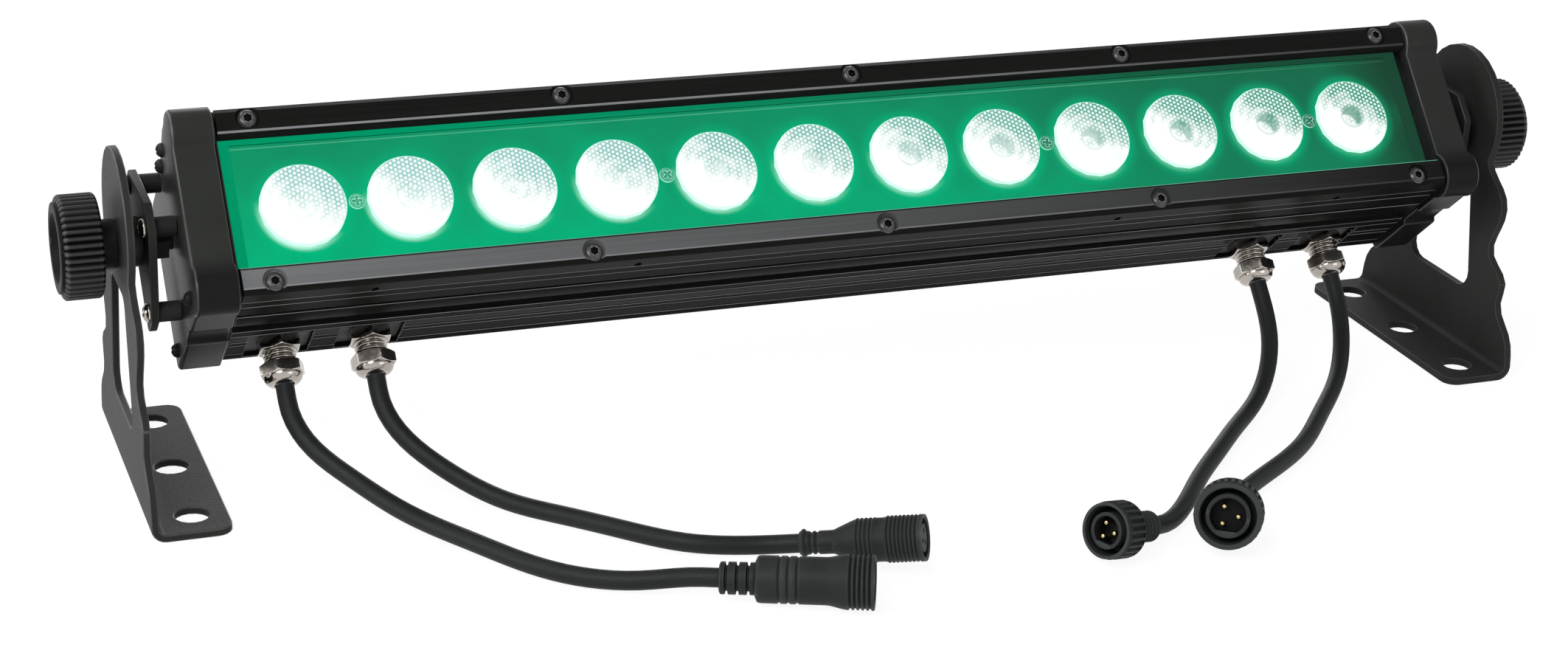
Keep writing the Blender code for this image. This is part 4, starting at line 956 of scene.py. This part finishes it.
class BATTEN_OT_connectors(bpy.types.Operator):
    """Build the sockets, the plugs with their pins and the coupling rings"""

    bl_idname = "batten.connectors"
    bl_label = "Connectors"

    def execute(self, context):
        self.power_socket()
        self.data_socket()
        for name, sizes in PLUGS.items():
            self.plug(name, connector_place(name), *sizes)
        return {"FINISHED"}

    def shell(self, name, outside, rim, slot_out, slot_in, depth, hole_ring, hole_radius):
        """A socket: the outside rows, its rim, the ring-shaped slot and the insulator with its holes."""
        place = connector_place(name)
        face = outside[-1, 1]
        top = face * 1000
        low = top - depth
        mouth = rows_of((rim - 0.4, top), (slot_out, top - 0.4), (slot_out, low), (slot_in, low))
        walls = turned(np.concatenate([outside, mouth]), SOCKET_STEPS, place)
        holes = hole_ring / 1000 * np.column_stack([np.cos(CONTACT_TURNS), np.sin(CONTACT_TURNS)])
        core = socket_core(place, slot_in / 1000, face - CORE_SUNK, holes, hole_radius / 1000,
                           depth / 1000 - CORE_SUNK)
        make_piece(f"{name}_shell", [walls, core], ["connector_nylon"], [f"{name}_socket"])

    def power_socket(self):
        """The large socket: three relief rings, a barrel with three banded grooves, a flare and a coarse
        thread."""
        outside = np.concatenate([
            rows_of((0, 0), (5.0, 0), (5.6, 0.3)), ribs(0.6, 12.2, 3, 5.8, 1.3, 24, 5.0, 0.15),
            rounded(rows_of((5.8, 12.4), (8.2, 13.4), (8.45, 14.6), (8.45, 20.2)), 0.0006),
            *(ribs(low, low + 1.6, 1, 8.45, 0.5) for low in (20.4, 23.6, 26.8)),
            rounded(rows_of((8.45, 28.8), (8.45, 38.0), (8.7, 39.6), (9.6, 43.4), (9.85, 45.2)), 0.002, 6),
            ribs(45.4, 54.0, 5, 9.9, 0.75), rows_of((9.7, 54.7))])
        self.shell("power_out", outside, rim=9.7, slot_out=8.5, slot_in=6.4, depth=7.8, hole_ring=3.4,
                   hole_radius=1.1)

    def data_socket(self):
        """The small socket: a wide end ring, slotted relief, a cone, thin rings and a fine thread."""
        outside = np.concatenate([
            rows_of((0, 0), (4.2, 0)), ribs(0.0, 2.6, 1, 4.3, -0.9), ribs(3.2, 7.4, 2, 4.3, 0.6),
            rounded(rows_of((4.3, 7.8), (4.3, 12.4), (4.8, 13.4), (7.3, 19.4), (7.9, 21.2)), 0.002, 6),
            ribs(21.4, 27.8, 4, 8.15, 0.45),
            rounded(rows_of((7.95, 28.2), (7.95, 31.2), (8.3, 32.4)), 0.0006),
            ribs(32.6, 44.4, 8, 8.55, 0.5), rows_of((8.5, 44.8), (8.45, 46.0))])
        self.shell("data_out", outside, rim=8.4, slot_out=7.1, slot_in=5.1, depth=6.8, hole_ring=2.7,
                   hole_radius=0.9)

    def plug(self, name, place, relief, relief_end, neck, sleeve, reach, wall, ring, well, grip, bore, grips):
        """A plug: ribbed relief, neck and hollow sleeve with a key, three domed pins, and its coupling ring
        with grips cut as square waves of the angle."""
        front = relief_end + ring + 2 * wall
        face = front - 0.3
        floor, inner = face - well, sleeve - wall
        outside = np.concatenate([
            rows_of((0, 0), (relief - 0.6, 0)), ribs(0.3, relief_end - 0.8, 5, relief, 0.8),
            rows_of((relief, relief_end - 0.5), (neck, relief_end), (neck, face - reach - 0.2)),
            rounded(rows_of((sleeve, face - reach), (sleeve, face), (inner, face), (inner, floor)), 0.0003),
            rows_of((0, floor))])

        def keyed(angle, radius, height):
            """The sleeve's bore with a flat key: the radius is held to a chord over a narrow angle."""
            deep = height > (floor + 0.2) / 1000
            bored = deep & (radius < (sleeve - 0.6 * wall) / 1000) & (radius > 0.001)
            toward = np.cos(angle - pi)
            chord = inner / 1000 * 0.84 / np.maximum(toward, 0.3)
            return np.where(bored & (toward > 0.84), np.minimum(radius, chord), radius)

        tip = floor + PIN_LENGTH
        pin = np.concatenate([
            rows_of((0, floor - 0.3), (PIN_RADIUS, floor - 0.3)),
            rounded(rows_of((PIN_RADIUS, floor), (PIN_RADIUS, tip), (0, tip)), 0.0006, 5)])
        patches = [turned(outside, 72, place, keyed)]
        for turn in CONTACT_TURNS + radians(60):
            aside = cos(turn) * place.rows[0] + sin(turn) * place.rows[1]
            spot = Place(place.origin + 0.55e-3 * inner * aside, place.rows)
            patches.append(turned(pin, 20, spot, mark=1))
        make_piece(f"{name}_shell", patches, ["connector_nylon", "brass_pin"],
                   [f"{name}_plug"])
        back, inside = front - ring, face - reach - 2 * wall - 0.3
        body = np.concatenate([
            rows_of((neck + 0.3, back)),
            rounded(rows_of((grip - 1.6, back), (grip, back + 0.8), (grip, front - 2.2),
                            (grip - 0.5, front - 1.2), (grip - 0.4, front)), 0.0005),
            rows_of((bore + 0.5, front), (bore + 0.3, front - 0.4)),
            ribs(front - 0.6, inside + 0.6, 4, bore + 0.4, 0.5),
            rows_of((bore, inside), (neck + 0.3, inside))])

        def gripped(angle, radius, height):
            """Grooves between the grips: a steep smooth wave of the angle, over the ring's middle only."""
            wave = np.clip(2.2 * np.cos(grips * angle) + 0.5, 0, 1)
            middle = (height > (back + 0.9) / 1000) & (height < (front - 2.0) / 1000)
            return radius - np.where((radius > (grip - 0.7) / 1000) & middle, 0.0009 * (1 - wave), 0)

        dense = np.concatenate([body[:6], resampled(body[6:14], 6), body[14:]])
        make_piece(f"{name}_grip", [turned(dense, grips * 8, place, gripped, closed=True)],
                   ["connector_nylon"], [f"{name}_ring"], f"{name}_ring")


class BATTEN_OT_glands(bpy.types.Operator):
    """Build the four cable glands with their threads and domed nuts"""

    bl_idname = "batten.glands"
    bl_label = "Glands"

    def execute(self, context):
        seat = GLAND_SEAT * 1000
        low = seat + 5.0
        start = low + 5.0
        dome = start + 4.9
        cone = np.column_stack([np.linspace(8.7, 7.4, 7), np.linspace(-0.7, 0.0, 7)]) / 1000
        body = np.concatenate([
            rows_of((0, 32.8), (5.0, 32.8), (5.0, seat)), cone[::-1] * (1, -1) + (0, seat / 1000),
            cone + (0, low / 1000), rows_of((6.6, low)), ribs(low + 0.2, low + 7.5, 4, 6.25, 0.85, 14),
            rows_of((5.2, low + 7.7), (0, low + 7.7))])
        swell = np.linspace(0, pi / 2, 12)
        nut = np.concatenate([
            rows_of((0, start + 3.0), (6.55, start + 3.0), (6.55, start)),
            cone[::-1] * (1, -1) + (0, start / 1000), cone + (0, dome / 1000),
            np.column_stack([3.9 + 3.4 * np.cos(swell), dome + 3.3 * np.sin(swell)]) / 1000,
            rows_of((3.7, dome + 2.6), (0, dome + 2.6))])
        cones_end = 3 + 2 * len(cone)
        for (name, lead), degrees in zip(LEADS.items(), GLAND_TURNS):
            turn = radians(degrees)
            origin = on_bar(lead.gland_x, 0, GLAND_N)
            swung = cos(turn) * ALONG + sin(turn) * OUTWARD
            for rows, way, part, node in ((body, ALONG, "stem", "body"), (nut, swung, "cap", "nut")):
                number = np.arange(len(rows))
                form = hexagon(GLAND_FLATS, (number >= 3) & (number < cones_end))
                patch = turned(rows, 72, standing(origin, -ACROSS, way), form)
                make_piece(f"{name}_gland_{part}", [patch], ["nickel"],
                           [f"{name}_gland_{node}"], crease=24)
        return {"FINISHED"}


class BATTEN_OT_bar(bpy.types.Operator):
    """Build the bar's outside: extrusion, strips, end caps, end plates and spacers"""

    bl_idname = "batten.bar"
    bl_label = "Bar"

    def execute(self, context):
        edge = context.scene.batten_sizes.edge
        # painted highlight on the extrusion's bevelled edges
        eased("housing_profile", 0.00032, "anodised_profile", "housing_edge_highlight")
        for name, side in (("top", 1), ("bottom", -1)):
            make_piece(f"{name}_strip", strip_patches(side), STRIP_FINISHES,
                       [f"{name}_retaining_strip"])
        inner, outer = STANDOFF_IN * 1000, STANDOFF_OUT * 1000
        spacer = rounded(rows_of((0, inner), (3.75, inner), (3.75, outer), (0, outer)), 0.0003)
        for name, side in SIDES.items():
            # painted highlights on the bevelled edges of the caps and end plates
            eased(f"{name}_end_cap", edge, "cast_cap", "cast_edge_highlight", 3)
            eased(f"{name}_end_plate", 0.7 * edge, "powder_coat", "powder_edge_highlight")
            for which, (v, n) in STANDOFF_PLACES.items():
                place = standing(on_bar(0, v, n), side * ALONG, ACROSS)
                make_piece(f"{name}_{which}_spacer", [turned(spacer, 40, place)],
                           ["powder_coat"], [f"{name}_standoff_{which}"])
            dress(f"{name}_pivot_nut", "cast_cap")
            dress(f"{name}_cap_gasket", "seal_silicone")
        return {"FINISHED"}


class BATTEN_OT_optics(bpy.types.Operator):
    """Build the lenses and finish what lies behind the glass"""

    bl_idname = "batten.optics"
    bl_label = "Optics"

    def execute(self, context):
        front = LENS_FRONT * 1000
        dimple = rows_of((2.6, front - 3.0), (3.9, front - 2.4), (4.3, front - 0.05), (5.0, front))
        profile = np.concatenate([
            rows_of((0, front - 3.0)), rounded(dimple, 0.0005),
            np.column_stack([np.linspace(5.2, 14.9, 36), np.full(36, front)]) / 1000,
            rounded(rows_of((15.2, front), (15.96, front), (15.96, front - 3.0)), 0.0004),
            rows_of((7.0, 6.2), (4.2, 6.2), (4.2, 9.7), (0, 9.7))])
        radius, height = profile.T
        netted = (height > LENS_FRONT - 1e-6) & (radius > 0.0055) & (radius < 0.0148)
        for number, x in enumerate(LENS_PLACES, 1):
            lens = turned(profile, 192, standing(on_bar(x, 0, 0), OUTWARD, ALONG))
            make_piece(f"lens_{number:02d}_lit", [pillowed(lens, netted)], ["lit_lens"],
                       [f"lens_{number:02d}"])
        self.seal()
        for node, finish in (("front_glass", "front_glass_clear"), ("led_board", "circuit_board"),
                             ("driver_board", "circuit_board"), ("lens_plate", "lens_plate_lit")):
            dress(node, finish)
        return {"FINISHED"}

    def seal(self):
        """The pressed seal: its rounded section carried round the four corners of the glass."""
        section = rounded(rows_of((0, 20.9), (0, 21.65), (4.5, 21.65), (4.92, 20.9), (4.92, 20.08),
                                  (0, 20.08), (0, 20.9)), 0.0003)
        inset, out = section[:-1].T
        x = np.array((-1, 1, 1, -1))[:, None] * (HOUSING_END - inset)
        v = np.array((-1, -1, 1, 1))[:, None] * (0.0307 - inset)
        make_piece("pressed_seal", [Patch(on_bar(x, v, out), True, True, 0)], ["lit_seal"],
                   ["glass_gasket"])


class BATTEN_OT_stand(bpy.types.Operator):
    """Build the feet and the fluted tilt knobs"""

    bl_idname = "batten.stand"
    bl_label = "Stand"

    def execute(self, context):
        sizes = context.scene.batten_sizes
        start = KNOB_IN * 1000
        grip, rim = start + 5.7, start + 19.9
        back = np.concatenate([
            rows_of((0, start + 14.0), (4.3, start + 14.0), (4.3, start)),
            rounded(rows_of((8.9, start), (9.2, start + 0.4), (9.2, grip), (16.5, grip), (18.1, grip + 0.1)),
                    0.0004)])
        rise = np.linspace(0.1, 14.1, 26)
        drop = [1.2 * np.maximum(0, 1 - end / 1.3) ** 2 for end in (rise, 14.2 - rise)]
        side_rows = np.column_stack([19.3 - drop[0] - drop[1], grip + rise]) / 1000
        face = rounded(rows_of((17.6, rim), (16.9, rim), (16.8, rim + 1.1), (16.4, rim + 1.3),
                               (13.4, rim + 1.3), (12.9, rim + 0.9), (9.2, rim - 3.2), (6.3, rim - 3.2),
                               (6.2, rim - 1.2), (5.8, rim - 1.0), (2.6, rim - 1.0), (2.4, rim - 3.4),
                               (0, rim - 3.4)), 0.0004)
        profile = np.concatenate([back, side_rows, face])
        face_at = len(back) + len(side_rows)
        zone = np.zeros(len(profile), bool)
        zone[len(back):face_at] = True

        def fluted(angle, radius, height):
            """Flutes between rounded ridges: the radius dips by a power of a raised cosine of the angle."""
            dip = (0.5 + 0.5 * np.cos(sizes.flutes * angle)) ** 1.6
            return radius - np.where(zone[None, :], sizes.flute_depth * dip, 0)

        low, high = PLATE_OUT * 1000 + 0.3, PLATE_OUT * 1000 + 5.9
        washer = rounded(rows_of((4.3, low), (9.2, low), (9.2, high), (4.3, high)), 0.0004)
        marks = (np.arange(len(profile) - 1) >= face_at).astype(int)
        for name, side in SIDES.items():
            place = standing(PIVOT, side * ALONG, (0, 0, 1))
            knob = turned(profile, sizes.flutes * 10, place, fluted, marks)
            make_piece(f"{name}_fluted_knob", [knob], ["knob_nylon", "knob_face"],
                       [f"{name}_knob"], f"{name}_knob", 40)
            make_piece(f"{name}_washer", [turned(washer, 56, place, closed=True)],
                       ["knob_nylon"], [f"{name}_friction_washer"])
            # painted highlight on the foot's bevelled edges
            eased(f"{name}_foot", sizes.edge, "powder_coat", "powder_edge_highlight", 3)
            dress(f"{name}_pivot_stud", "cast_cap")
        return {"FINISHED"}


class BATTEN_OT_screws(bpy.types.Operator):
    """Set the screws into the strips, the lens plate, the caps and the end plates"""

    bl_idname = "batten.screws"
    bl_label = "Screws"

    def execute(self, context):
        sizes = context.scene.batten_sizes
        for name, side in (("top", 1), ("bottom", -1)):
            heads = []
            for number, x in enumerate(STRIP_SCREWS):
                seat = on_bar(x, side * STRIP_SCREW_V, STRIP_SINK_FLOOR)
                place = standing(seat, OUTWARD, cos(number) * ALONG + sin(number) * ACROSS)
                heads.append(button_screw(place, sizes.strip_screw, 0.0030, 0.0014))
            make_piece(f"{name}_strip_screws", heads, ["black_screw"])
        heads = [pan_screw(standing(on_bar(x, 0, PLATE_FRONT), OUTWARD, ALONG), 0.0030, 0.0010, number * 0.7)
                 for number, x in enumerate(PLATE_SCREWS)]
        make_piece("lens_plate_screws", heads, ["lit_screw"])
        for name, side in SIDES.items():
            heads = [pan_screw(self.end_place(side, CAP_OUT, v, n), sizes.cap_screw, 0.0024, number * 0.8)
                     for number, (v, n) in enumerate(CAP_SCREWS)]
            make_piece(f"{name}_cap_screws", heads, ["cast_cap"])
            heads = [pan_screw(self.end_place(side, PLATE_OUT, v, n), 0.0036, 0.0023, 0.4 + number,
                               int(v > 0)) for number, (v, n) in enumerate(STANDOFF_PLACES.values())]
            make_piece(f"{name}_plate_screws", heads, ["nickel", "cast_cap"])
        return {"FINISHED"}

    def end_place(self, side, out, v, n):
        """A screw's place on an end of the bar, that far out along it."""
        return standing(on_bar(side * out, v, n), side * ALONG, ACROSS)


class BATTEN_PT_panel(bpy.types.Panel):
    """The batten's steps and values"""

    bl_idname = "BATTEN_PT_panel"
    bl_label = "LED Strip Batten"
    bl_space_type = "VIEW_3D"
    bl_region_type = "UI"
    bl_category = "Batten"

    def draw(self, context):
        for step in STEPS:
            self.layout.operator(step.bl_idname)
        for group in (context.scene.batten_sizes, context.scene.batten_looks):
            box = self.layout.box()
            for name in type(group).__annotations__:
                box.prop(group, name)


STEPS = (BATTEN_OT_finishes, BATTEN_OT_stage, BATTEN_OT_connectors, BATTEN_OT_leads, BATTEN_OT_glands,
         BATTEN_OT_bar, BATTEN_OT_optics, BATTEN_OT_stand, BATTEN_OT_screws)
CLASSES = (BattenSizes, BattenLooks, *STEPS, BATTEN_PT_panel)


def register():
    for item in CLASSES:
        bpy.utils.register_class(item)
    bpy.types.Scene.batten_sizes = bpy.props.PointerProperty(type=BattenSizes)
    bpy.types.Scene.batten_looks = bpy.props.PointerProperty(type=BattenLooks)


def unregister():
    del bpy.types.Scene.batten_looks
    del bpy.types.Scene.batten_sizes
    for item in reversed(CLASSES):
        bpy.utils.unregister_class(item)


def main():
    register()
    bpy.ops.batten.finishes()
    bpy.ops.batten.stage()
    bpy.ops.batten.connectors()
    bpy.ops.batten.leads()
    bpy.ops.batten.glands()
    bpy.ops.batten.bar()
    bpy.ops.batten.optics()
    bpy.ops.batten.stand()
    bpy.ops.batten.screws()


if __name__ == "__main__":
    main()
